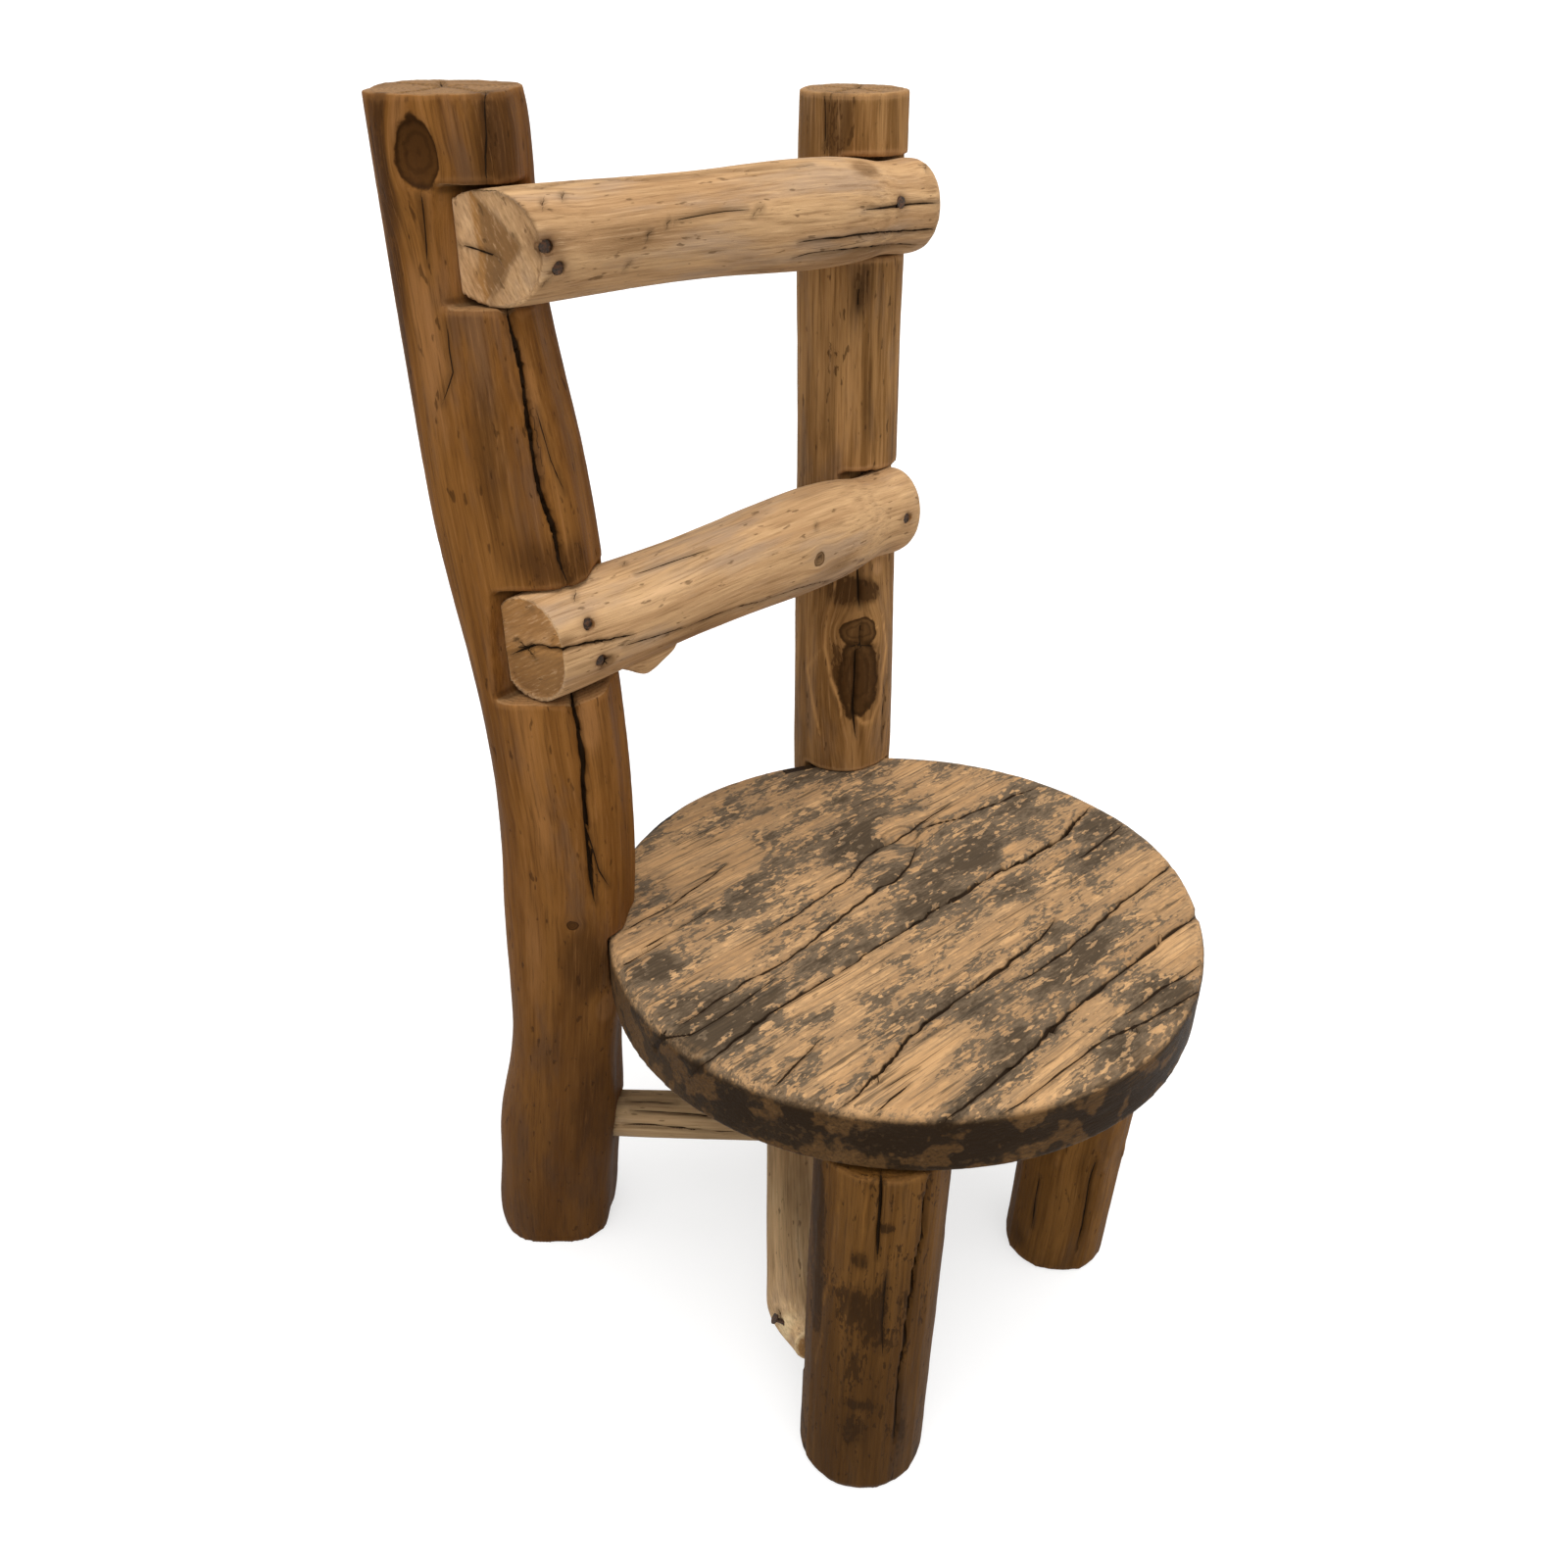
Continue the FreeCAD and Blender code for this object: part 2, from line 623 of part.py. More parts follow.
for shoulder, outward in ((left_shoulder, stretcher_along * -1), (right_shoulder, stretcher_along)):
    tenon = rod(
        shoulder - outward * tenon_overlap, outward, tenon_overlap + tenoned_stretcher_tenon_length,
        tenoned_stretcher_tenon_diameter)
    mortise = rod(
        shoulder - outward * tenon_overlap, outward,
        tenon_overlap + tenoned_stretcher_tenon_length + wood_clearance,
        tenoned_stretcher_tenon_diameter + 2 * wood_clearance)
    housing = rod(
        shoulder + outward * wood_clearance, outward * -1, tenoned_stretcher_housing_depth + overrun,
        tenoned_stretcher_diameter * tenoned_stretcher_housing_share)
    tenoned_stretcher = tenoned_stretcher.fuse(tenon)
    left_post = left_post.cut([mortise, housing])
    right_leg = right_leg.cut([mortise, housing])
tenoned_stretcher = tenoned_stretcher.removeSplitter()

# The lapped stretcher passes just under the tenoned one.
lapped_level = (
    tenoned_stretcher_level - tenoned_stretcher_diameter * TENONED_STRETCHER_STATION_SHARES[2][2] / 2
    - stretcher_crossing_gap - lapped_stretcher_diameter / 2)
leg_point = left_leg_middle(lapped_level)
post_point = right_post_middle(lapped_level)
flank = UP.cross(post_point - leg_point).normalize()
near_end = leg_point + flank * (left_leg_diameter / 2 + lapped_stretcher_stand)
far_end = post_point + flank * (right_post_width / 2 + lapped_stretcher_stand)
lapped_along = (far_end - near_end).normalize()
lapped_inward = flank * -1
lapped_frame = (lapped_along, lapped_inward, lapped_along.cross(lapped_inward))
lapped_stretcher = log_between(
    near_end - lapped_along * lapped_stretcher_near_reach, far_end + lapped_along * lapped_stretcher_far_reach, UP,
    lapped_stretcher_diameter, lapped_stretcher_diameter, lapped_inward * (lapped_stretcher_diameter / 2),
    LAPPED_STRETCHER_STATION_SHARES, ROUND_LOG_POWER)
slant = math.radians(stretcher_nail_slant)
nail_way = lapped_inward * math.cos(slant) - UP * math.sin(slant)
nail_length = lapped_stretcher_diameter / 2 + lapped_stretcher_lap + nail_grip
stretcher_nails = []
stretcher_nail_holes = []
half_notch = lapped_stretcher_diameter / 2 + wood_clearance
# Each lap: where it is, the width it crosses, where its notch begins and how far back its nail is.
laps = (
    (near_end, left_leg_diameter, -lapped_stretcher_near_reach - wood_clearance, stretcher_nail_setback_share),
    (far_end, right_post_width, -right_post_width - overrun, 0),
)
notches = []
for end, width, mouth, setback_share in laps:
    lap_low = Vec(-width * lap_reach_share, lapped_stretcher_lap, -lapped_stretcher_diameter)
    lap_high = Vec(width * lap_reach_share, lapped_stretcher_lap + overrun, lapped_stretcher_diameter)
    lapped_stretcher = lapped_stretcher.cut(block(end, *lapped_frame, lap_low, lap_high))
    notch_low = Vec(mouth, -overrun - lapped_stretcher_diameter, -half_notch)
    notch_high = Vec(width + overrun, lapped_stretcher_lap + wood_clearance, half_notch)
    notches.append(block(end, *lapped_frame, notch_low, notch_high))
    axis_point = end + lapped_along * (width / 2 * setback_share)
    head = axis_point - nail_way * (lapped_stretcher_diameter / 2 - nail_sink)
    for growth, made in ((0, stretcher_nails), (nail_clearance, stretcher_nail_holes)):
        made.append(nail(
            head, nail_way, nail_diameter, nail_head_diameter, nail_head_thickness, nail_length, growth))
left_leg = left_leg.cut(notches[0])
right_post = right_post.cut(notches[1])
lapped_stretcher = lapped_stretcher.cut(stretcher_nail_holes)
left_leg = left_leg.cut(stretcher_nail_holes[0])
right_post = right_post.cut(stretcher_nail_holes[1])

# Notches and nail holes of the posts.
seat_housing = seat_blank(wood_clearance)
for rail in (upper, lower):
    left_post = left_post.cut(rail.housing(left_post_side, left_post_width))
    right_post = right_post.cut(rail.housing(right_post_side, right_post_width))
    left_post = left_post.cut(rail.nails(nail_clearance))
    right_post = right_post.cut(rail.nails(nail_clearance))
spiked_posts = ((left_post_middle, left_post_width), (right_post_middle, right_post_width))
seat_spikes = [seat_spike(middle, width, 0) for middle, width in spiked_posts]
spike_holes = [seat_spike(middle, width, nail_clearance) for middle, width in spiked_posts]
left_post = left_post.cut(seat_housing).cut(spike_holes[0])
right_post = right_post.cut(seat_housing).cut(spike_holes[1])
left_post = left_post.cut(left_post_cracks()).cut(left_post_knot())

# The seat, with blind mortises for the legs.
seat = seat_blank(0)
seat = seat.makeFillet(seat_edge_round, rim_edges(seat, seat_top_height))
seat = seat.makeChamfer(seat_under_bevel, rim_edges(seat, seat_underside))
for middle in (left_leg_middle, right_leg_middle):
    top = middle(seat_underside)
    mortise_depth = overrun + leg_tenon_length + wood_clearance
    seat = seat.cut(rod(top - UP * overrun, UP, mortise_depth, leg_tenon_diameter + 2 * wood_clearance))
seat = seat.cut(spike_holes).cut(seat_cracks())
left_leg = left_leg.cut(tenon_wedge(left_leg_middle, nail_clearance))
right_leg = right_leg.cut(tenon_wedge(right_leg_middle, nail_clearance))

pieces = {
    "left_back_post": left_post,
    "right_back_post": right_post,
    "upper_rail": upper_rail,
    "lower_rail": lower_rail,
    "seat_slab": seat,
    "front_left_leg": left_leg,
    "front_right_leg": right_leg,
    "left_diagonal_stretcher": tenoned_stretcher,
    "right_diagonal_stretcher": lapped_stretcher,
    "upper_rail_nails": Part.makeCompound(upper.nails(0)),
    "lower_rail_nails": Part.makeCompound(lower.nails(0)),
    "stretcher_nails": Part.makeCompound(stretcher_nails),
    "seat_spikes": Part.makeCompound(seat_spikes),
    "leg_tenon_wedges": Part.makeCompound([tenon_wedge(left_leg_middle, 0), tenon_wedge(right_leg_middle, 0)]),
}

# The origin goes under the middle of the whole chair.
whole = Part.makeCompound(list(pieces.values())).optimalBoundingBox(False)
shift = Vec(-whole.Center.x, -whole.Center.y, -whole.ZMin)
os.makedirs("parts", exist_ok=True)
for name, shape in pieces.items():
    shape.translate(shift)
    save(name, shape)
    print(name, len(shape.Solids), "solids", round(shape.Volume / 1000), "cubic cm", shape.isValid())
print("chair", round(whole.XLength, 1), round(whole.YLength, 1), round(whole.ZLength, 1))
print("seat middle", round(shift.x, 2), round(shift.y, 2))
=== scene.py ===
"""A weathered log chair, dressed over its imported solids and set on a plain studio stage."""

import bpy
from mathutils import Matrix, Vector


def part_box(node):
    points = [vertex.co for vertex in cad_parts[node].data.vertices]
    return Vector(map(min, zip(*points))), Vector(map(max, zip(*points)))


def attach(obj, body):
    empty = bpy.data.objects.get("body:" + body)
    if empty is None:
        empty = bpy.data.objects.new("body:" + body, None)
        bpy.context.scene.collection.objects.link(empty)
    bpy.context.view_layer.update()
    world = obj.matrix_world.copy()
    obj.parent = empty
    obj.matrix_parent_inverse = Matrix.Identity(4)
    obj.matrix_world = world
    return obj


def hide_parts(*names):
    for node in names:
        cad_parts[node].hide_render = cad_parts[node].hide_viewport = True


bl_info = {
    "name": "Log Chair",
    "version": (1, 0, 0),
    "blender": (4, 5, 0),
    "location": "View3D > Sidebar > Log Chair",
    "description": "Dresses a rustic log chair in cracked, worn wood and sets it on a plain stage",
    "category": "Add Mesh",
}

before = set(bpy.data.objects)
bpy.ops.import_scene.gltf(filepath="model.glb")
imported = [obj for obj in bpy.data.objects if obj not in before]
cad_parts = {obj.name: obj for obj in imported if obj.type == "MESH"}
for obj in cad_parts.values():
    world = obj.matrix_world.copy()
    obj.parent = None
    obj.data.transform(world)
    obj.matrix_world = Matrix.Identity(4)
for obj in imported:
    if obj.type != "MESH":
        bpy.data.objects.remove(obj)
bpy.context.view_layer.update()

import math

import bmesh
import bpy
import numpy as np
from bpy.props import FloatProperty, FloatVectorProperty, PointerProperty
from mathutils import Euler, Vector
from mathutils.bvhtree import BVHTree
from mathutils.kdtree import KDTree

MM = 0.001

# The photograph's camera. Its pixels place the marks that the photograph shows.
PHOTO_SIZE = 1600
FOCAL_PIXELS = 1400
SENSOR_WIDTH = 36.0
CAMERA_PLACE = Vector((-0.62905, -0.6059, 1.0275))
CAMERA_PITCH = math.radians(31.77)
CAMERA_TURN = math.radians(-42)
CAMERA_EULER = Euler((math.pi / 2 - CAMERA_PITCH, 0, CAMERA_TURN))
CAMERA_MATRIX = CAMERA_EULER.to_matrix()

# The sun lamps: name, where they shine from, spread in degrees and strength.
LAMPS = (
    ("overhead", (-0.2, -0.45, 2.6), 50, 2.6),
    ("front_fill", (-1.4, -1.9, 0.9), 60, 0.85),
    ("left_fill", (-2.0, 0.3, 1.0), 60, 0.4),
    ("right_fill", (1.5, -1.5, 1.2), 60, 0.4),
)
ROOM_TINT = (1.0, 0.97, 0.92)
ROOM_STRENGTH = 0.35
BACKDROP_LIFT = 0.65
WHITE = (1, 1, 1)

# How the mesh and the grain of a piece are found. Rounds are of smoothing, and the shares of the mouth and
# the edge are of the mesh spacing.
MERGE_DISTANCE = 1e-6
GRAIN_STATIONS = 20
GRAIN_MEAN = 5
SMOOTH_SHARE = 0.5
SHAPE_ROUNDS = 14
GROOVE_ROUNDS = 80
GROOVE_REACH = 6 * MM
MOUTH_SHARE = 0.9
EDGE_SHARE = 0.45
FIELD_LIMIT = 2

# How lines on the wood are traced, in metres and photo pixels.
LINE_STEP = 1.2 * MM
LINE_TAPER = 5
LINE_TIP = 0.02
LINE_WIDTH_STEPS = 8
LINE_WIDTH_RANGE = (0.65, 1.3)
MARCH_STEP = 4 * MM
MARCH_SLANT = 0.5
DRIFT_START = 0.05
DRIFT_KEPT = 0.85
DRIFT_NEW = 0.03
PIXEL_STEP = 3
PIXEL_WANDER = 0.7
PIXEL_SWAY_STEPS = 6
SEAM_MIN = 0.5 * MM
SEAT_CRACK_LEAN = 0.6
CRACK_RUNOUT = 24 * MM

# How cracks scatter over the hidden sides, and how drying checks run on the sawn ends.
CRACK_LENGTH_RANGE = (0.4, 1.5)
CRACK_WIDTH_RANGE = (0.6, 1.3)
CRACK_MOST_END = 0.6
CHECK_LEAST_END = 0.85
CHECK_LEVEL = 6 * MM
CHECK_LEAST_POINTS = 50
CHECK_WANDER = 0.2
CHECK_START = 0.05
CHECK_REACH_RANGE = (0.5, 0.95)
CHECK_STEPS = 12

# How knots wave, sink and bend the grain, as shares of their radius, and how far rust and pits spread.
KNOT_WAVES = ((3, 0.06), (7, 0.03))
KNOT_DENT_EDGE = 1.05
KNOT_DENT_SLOPE = 0.3
KNOT_BEND = 0.8
KNOT_BEND_REACH = 1.6
RUST_SPREAD = 1.7
PIT_EDGE = 1.4

# How a rail's hewn end is cut: its blurs, its reach along the rail, and the lean of its grain.
RIDGE_BLUR = 4 * MM
BEVEL_BLUR = 2 * MM
HEWN_FACING = (0.4, 0.9)
HEWN_REACH = 0.03
HEWN_EDGE_REACH = 0.02
HEWN_DULLED = 0.75
HEWN_LEAN = 0.4

# How the legs' lengthwise edges are rounded. A row of the skin that is more uneven than the limit is left.
SOFT_ROWS = 48
SOFT_TURNS = 72
SOFT_LIMIT = 0.35
LEG_SOFTNESS = math.radians(12)

# The woods: how much lighter the right leg is painted than the left one, as painted light for the seat's
# shadow on it, the height below which painted shade darkens the logs towards the floor, what a wood's seed
# gains for its weathering, and how its growth rings and knot rings run.
RIGHT_LEG_PAINTED_LIGHT = 1.8
LOW_SHADE_TOP = 0.55
WEATHERING_SEED = 20
RING_WARP = 16 * MM
KNOT_RING_PITCH = 15

# Where the seat's pith lies from the middle of its lower face, and how far below its top the rim is
# darkened, partly by grime and partly by painted shade.
SEAT_PITH_BACK = 0.04
SEAT_PITH_DROP = 0.09
RIM_START = 2.5 * MM
RIM_FULL = 9 * MM

# A nail's head thickness and shank radius as a share of its head's radius, and its hammered dents.
NAIL_SHARE = 0.45
NAIL_DENT = 0.4 * MM
NAIL_DENT_DOWN = 0.35 * MM

# Cracks: half width and depth in millimetres, then the path in photo pixels.
# The first cracks of the seat and of the left post, as many as named here, are grooves in the solids too.
SEAT_GROOVES = 6
LEFT_POST_GROOVES = 2
SEAT_CRACKS = (
    (1.5, 7, (
        (714, 1089), (761, 1051), (811, 1016), (853, 992), (896, 963), (938, 938), (980, 912),
        (1005, 897))),
    (2.8, 11, ((970, 918), (1022, 887), (1064, 866), (1089, 849), (1110, 824))),
    (1.7, 8, ((858, 1129), (896, 1092), (946, 1041), (988, 1009), (1026, 984), (1047, 967), (1076, 940))),
    (1.5, 7, ((1043, 999), (1076, 976), (1114, 946), (1152, 912), (1192, 883))),
    (1.7, 8, (
        (967, 1142), (1005, 1110), (1043, 1077), (1106, 1018), (1148, 988), (1190, 955), (1224, 931))),
    (1.1, 4, (
        (698, 1045), (740, 1013), (803, 976), (837, 950), (874, 921), (912, 898), (929, 881), (938, 862))),
    (1.1, 4, ((782, 952), (820, 925), (858, 897), (895, 866), (925, 847), (967, 822))),
    (1.0, 3, ((938, 845), (996, 826), (1057, 803))),
    (0.9, 3, ((1026, 1138), (1085, 1089), (1127, 1060), (1224, 1013))),
    (0.8, 3, ((1148, 1034), (1224, 984))),
    (1.0, 3, ((1102, 875), (1144, 841))),
    (0.7, 2, ((635, 948), (685, 921), (740, 883))),
    (0.7, 2, ((656, 967), (723, 929))),
    (0.7, 2, ((633, 984), (677, 959))),
    (0.8, 2, ((668, 1062), (707, 1055), (790, 1000))),
    (0.7, 2, ((893, 1135), (925, 1106))),
    (0.7, 2, ((790, 1110), (835, 1062))),
)
LEFT_POST_CRACKS = (
    (1.7, 9, ((518, 315), (533, 376), (543, 453), (552, 502), (566, 543), (577, 590))),
    (1.8, 9, ((582, 703), (590, 739), (596, 780), (597, 830), (602, 880), (607, 920))),
    (0.5, 2, ((495, 92), (497, 140), (496, 183))),
    (0.5, 2, ((429, 196), (432, 230), (435, 266))),
    (0.5, 2, ((600, 850), (612, 890), (622, 905))),
    (0.4, 1, ((548, 420), (562, 470), (575, 500))),
    (0.4, 1, ((455, 330), (462, 380), (452, 410))),
)
RIGHT_POST_CRACKS = (
    (1.0, 5, ((876, 576), (876, 600), (877, 618))),
    (0.6, 3, ((880, 637), (879, 660))),
    (0.9, 5, ((875, 663), (873, 695), (871, 727), (872, 750))),
    (0.5, 2, ((867, 661), (878, 660), (892, 660))),
    (0.6, 3, ((877, 292), (876, 315))),
    (0.5, 2, ((905, 690), (900, 755))),
    (0.4, 2, ((840, 95), (842, 150))),
)
UPPER_RAIL_CRACKS = (
    (0.7, 3, ((487, 193), (545, 190), (599, 184), (665, 183), (723, 177), (785, 170), (826, 167))),
    (0.7, 3, ((884, 215), (922, 210), (957, 207))),
    (0.8, 4, ((818, 248), (889, 240), (955, 235))),
    (0.6, 3, ((810, 262), (868, 255), (930, 249))),
    (0.5, 2, ((470, 250), (505, 262))),
    (0.4, 1, ((690, 225), (740, 215), (760, 213))),
)
LOWER_RAIL_CRACKS = (
    (1.0, 6, ((525, 668), (545, 660), (575, 665), (610, 655), (645, 650))),
    (0.5, 2, ((530, 655), (545, 672))),
    (0.6, 2, ((700, 640), (780, 612), (850, 592), (890, 572))),
    (0.4, 1, ((640, 660), (700, 640))),
    (0.4, 1, ((650, 585), (720, 562))),
)
LEFT_LEG_CRACKS = (
    (1.1, 6, ((900, 1196), (898, 1231), (896, 1257), (895, 1284))),
    (1.3, 7, ((948, 1200), (943, 1246), (936, 1284), (930, 1325), (925, 1358), (919, 1396), (913, 1471))),
    (0.5, 2, ((905, 1300), (900, 1380))),
)
RIGHT_LEG_CRACKS = (
    (0.6, 3, ((1118, 1185), (1108, 1230), (1100, 1275))),
    (0.5, 2, ((1060, 1200), (1052, 1250))),
)
LEFT_STRETCHER_CRACKS = (
    (0.8, 4, ((640, 1148), (700, 1152), (760, 1158))),
    (0.6, 3, ((645, 1132), (700, 1136), (740, 1142))),
    (0.4, 2, ((640, 1122), (690, 1126))),
)

# Pale seams: half width in millimetres and the path in photo pixels.
RIGHT_POST_SEAMS = (
    (1.7, ((852, 595), (844, 631), (841, 660), (847, 693), (856, 715), (858, 735))),
    (1.7, ((901, 629), (904, 660), (900, 685), (897, 716), (889, 736), (880, 738), (867, 720))),
    (1.5, ((836, 665), (824, 682), (830, 720), (836, 748))),
    (1.5, ((867, 655), (872, 640), (886, 632), (895, 640))),
)
LEFT_LEG_SEAMS = (
    (1.0, (
        (858, 1200), (857, 1218), (853, 1244), (850, 1267), (849, 1290), (846, 1310), (841, 1325),
        (839, 1338))),
    (1.0, (
        (886, 1200), (883, 1231), (881, 1257), (879, 1280), (875, 1299), (869, 1313), (862, 1345),
        (857, 1382))),
    (0.8, ((846, 1310), (855, 1312), (861, 1295))),
    (0.8, ((897, 1328), (895, 1345))),
    (0.9, ((838, 1361), (833, 1390))),
    (0.8, ((852, 1400), (850, 1440))),
    (0.7, ((905, 1420), (900, 1470))),
)

# Knots: pixel, radius in millimetres, stretch along the grain and how deep the knot sinks in millimetres.
LEFT_POST_KNOTS = (((426, 158), 14, 1.5, 2.0), ((585, 945), 5, 1.0, 1))
RIGHT_POST_KNOTS = (((877, 690), 20, 2.2, 0.6), ((880, 645), 11, 1.2, 0.8))
LOWER_RAIL_KNOTS = (((836, 572), 6, 1.0, 0.6),)
SEAT_KNOTS = (((921, 852), 15, 1.3, 1.2), ((903, 788), 5, 1.6, 1.0))

# Where the two facets of a hewn rail end meet, and where the second one runs out.
# Each line runs from low to high in photo pixels.
UPPER_RAIL_RIDGE = ((500, 290), (484, 205))
UPPER_RAIL_BEVELS = (((528, 250), (484, 197)), ((506, 298), (531, 250)))
LOWER_RAIL_RIDGE = ((523, 664), (556, 668))

# Holes and pits: pixel, radius and depth in millimetres.
SEAT_PITS = (((1075, 1049), 2.6, 6), ((1160, 1052), 1.6, 3), ((1184, 957), 1.6, 3), ((897, 1101), 2.2, 3))
UPPER_RAIL_PITS = (
    ((553, 207), 1.5, 3), ((575, 200), 1.3, 3), ((683, 228), 1.4, 2), ((662, 241), 1.5, 2),
    ((945, 172), 1.2, 3), ((556, 288), 1.3, 2), ((640, 270), 1.0, 2), ((773, 213), 0.7, 1),
    ((777, 214), 0.5, 1), ((771, 219), 0.5, 1),
)
LOWER_RAIL_PITS = (
    ((587, 608), 1.6, 3), ((618, 676), 3.0, 3), ((637, 575), 1.2, 2), ((833, 536), 0.9, 2),
    ((836, 572), 1.8, 3),
)
RIGHT_STRETCHER_PITS = (((795, 1340), 2.0, 2),)

# Stains: pixel, half length along the grain and half width in millimetres, and strength.
# A strength below zero is worn pale. Some entries are painted shade or painted light instead, as the notes
# beside them say.
SEAT_STAINS = (
    ((782, 811), 70, 35, 0.15), ((727, 845), 45, 25, 0.1), ((837, 786), 40, 20, 0.35),
    ((938, 921), 50, 22, 0.8), ((992, 875), 45, 22, 0.8), ((874, 854), 35, 25, 0.7),
    ((1030, 820), 50, 20, 0.7), ((672, 987), 17, 14, 1.6), ((769, 1034), 60, 20, 0.8),
    ((706, 1030), 30, 15, 0.7), ((992, 1030), 35, 18, 0.7), ((853, 975), 30, 15, 0.5),
    ((1097, 976), 55, 20, 0.7), ((1034, 908), 22, 12, 0.9), ((1022, 1072), 40, 15, 0.7),
    ((1144, 1072), 30, 20, 0.8), ((1194, 1014), 30, 20, 0.7), ((1118, 841), 25, 12, 0.7),
    ((744, 925), 35, 12, 0.5), ((803, 879), 40, 15, 0.5), ((904, 896), 25, 12, 0.8),
    ((698, 1068), 25, 14, 0.9), ((748, 1127), 30, 14, 1.0), ((820, 1136), 32, 15, 1.1),
    ((891, 1161), 40, 16, 1.0), ((946, 1157), 30, 16, 1.0), ((1013, 1161), 45, 17, 1.2),
    ((1123, 1140), 45, 16, 1.1), ((1190, 1093), 35, 15, 1.0), ((959, 1186), 40, 10, 1.0),
    ((845, 1005), 45, 14, -0.8), ((950, 1076), 50, 14, -0.9), ((904, 1114), 35, 10, -0.8),
    ((1160, 887), 45, 20, -0.6), ((1198, 976), 30, 25, -0.6), ((929, 784), 14, 8, -1.2),
    ((975, 803), 20, 8, -0.7), ((908, 845), 10, 8, -0.9), ((748, 976), 35, 10, -0.5),
    ((1076, 1089), 35, 12, -0.8), ((938, 1131), 50, 7, -1.0), ((1055, 1131), 40, 7, -1.0),
    ((837, 1106), 35, 7, -0.7), ((685, 879), 30, 12, -0.4), ((760, 860), 60, 40, -0.45),
)
LEFT_POST_STAINS = (
    # The entry at (600, 985) is painted shadow in the post's notch below the seat.
    ((440, 225), 45, 12, 0.7), ((600, 985), 35, 14, 0.9), ((590, 580), 22, 18, 0.9),
    # The entry at (505, 140) darkens the top of the post.
    ((545, 575), 18, 16, 0.7), ((505, 140), 45, 20, 0.9), ((500, 480), 60, 10, 0.5),
    # The thin strips at (389, 130), (398, 230) and (409, 330) are painted shade on the post's left side.
    ((389, 130), 60, 5, 1.8), ((398, 230), 60, 5, 1.8), ((409, 330), 60, 5, 1.5),
    ((600, 1120), 60, 14, 0.4), ((618, 1028), 16, 9, -1.6), ((430, 370), 60, 14, -0.5),
    ((545, 400), 50, 9, -0.6), ((540, 800), 90, 12, -0.5), ((600, 740), 20, 8, -0.9),
    ((400, 112), 30, 8, -0.9), ((462, 120), 28, 9, -0.7), ((452, 262), 40, 9, -0.8),
    ((425, 300), 60, 9, -0.6), ((520, 640), 50, 8, -0.6), ((545, 980), 80, 10, -0.5),
    ((570, 520), 30, 7, -0.5),
)
RIGHT_POST_STAINS = (
    ((862, 604), 12, 11, 1.7), ((888, 604), 11, 9, 1.3), ((855, 120), 24, 10, 0.9),
    ((880, 290), 22, 9, 0.6), ((850, 400), 60, 9, 0.5), ((885, 430), 45, 7, 0.4),
    ((870, 690), 34, 14, 1.2), ((825, 340), 90, 10, -0.4), ((895, 580), 9, 6, -1.0),
    ((905, 220), 50, 8, -0.4),
)
UPPER_RAIL_STAINS = (
    ((884, 172), 14, 8, 1.2), ((660, 240), 35, 9, 0.6), ((560, 250), 10, 8, 0.6),
    ((500, 285), 12, 10, 0.5), ((880, 260), 50, 7, 0.6), ((610, 205), 60, 10, -0.4),
    ((800, 195), 60, 10, -0.4),
)
LOWER_RAIL_STAINS = (
    ((618, 676), 8, 5, 1.3), ((541, 619), 9, 6, 1.0), ((575, 655), 14, 6, 0.7), ((600, 639), 6, 6, 0.8),
    ((860, 575), 30, 8, 0.6), ((700, 650), 40, 6, 0.5), ((700, 590), 70, 12, -0.4),
)
LEFT_LEG_STAINS = (
    ((835, 1235), 40, 7, 1.3), ((833, 1320), 35, 7, 1.2), ((877, 1434), 5, 11, 0.8),
    ((872, 1462), 16, 9, 0.5), ((890, 1345), 30, 9, 0.6), ((905, 1253), 5, 6, 1.0),
    ((877, 1286), 8, 6, 0.9), ((870, 1330), 14, 7, 0.7), ((958, 1254), 60, 8, -0.6),
    ((935, 1420), 40, 7, -0.4),
)
RIGHT_LEG_STAINS = (
    # The pale entry at (1130, 1200) is painted light on the leg's right side.
    ((1060, 1240), 40, 14, -0.3), ((1130, 1200), 50, 8, -0.6), ((1040, 1262), 14, 10, 0.6),
)
# The pale band at (800, 1355) is partly wear and partly a painted highlight on the stretcher's rounded end.
RIGHT_STRETCHER_STAINS = (((800, 1355), 6, 14, -1.2), ((810, 1380), 8, 10, 0.9))


def length(name, description, default):
    """A length that a user may change."""
    return FloatProperty(name=name, description=description, default=default, unit="LENGTH")


def colour(name, description, default):
    """A colour that a user may change."""
    return FloatVectorProperty(name=name, description=description, default=default, subtype="COLOR")


class LogChairSizes(bpy.types.PropertyGroup):
    """Sizes of the chair's surface detail."""

    post_grid: length("Post Grid", "Mesh spacing on the back posts", 2.2 * MM)
    rail_grid: length("Rail Grid", "Mesh spacing on the rails", 1.6 * MM)
    seat_grid: length("Seat Grid", "Mesh spacing on the seat slab", 2.2 * MM)
    leg_grid: length("Leg Grid", "Mesh spacing on the front legs", 1.8 * MM)
    stretcher_grid: length("Stretcher Grid", "Mesh spacing on the stretchers", 1.6 * MM)
    lump_depth: length("Lump Depth", "Height of the slow swells along a log", 2.6 * MM)
    ripple_depth: length("Ripple Depth", "Height of the raised grain", 0.8 * MM)
    floor_width: length("Floor Width", "Side of the square floor", 120.0)


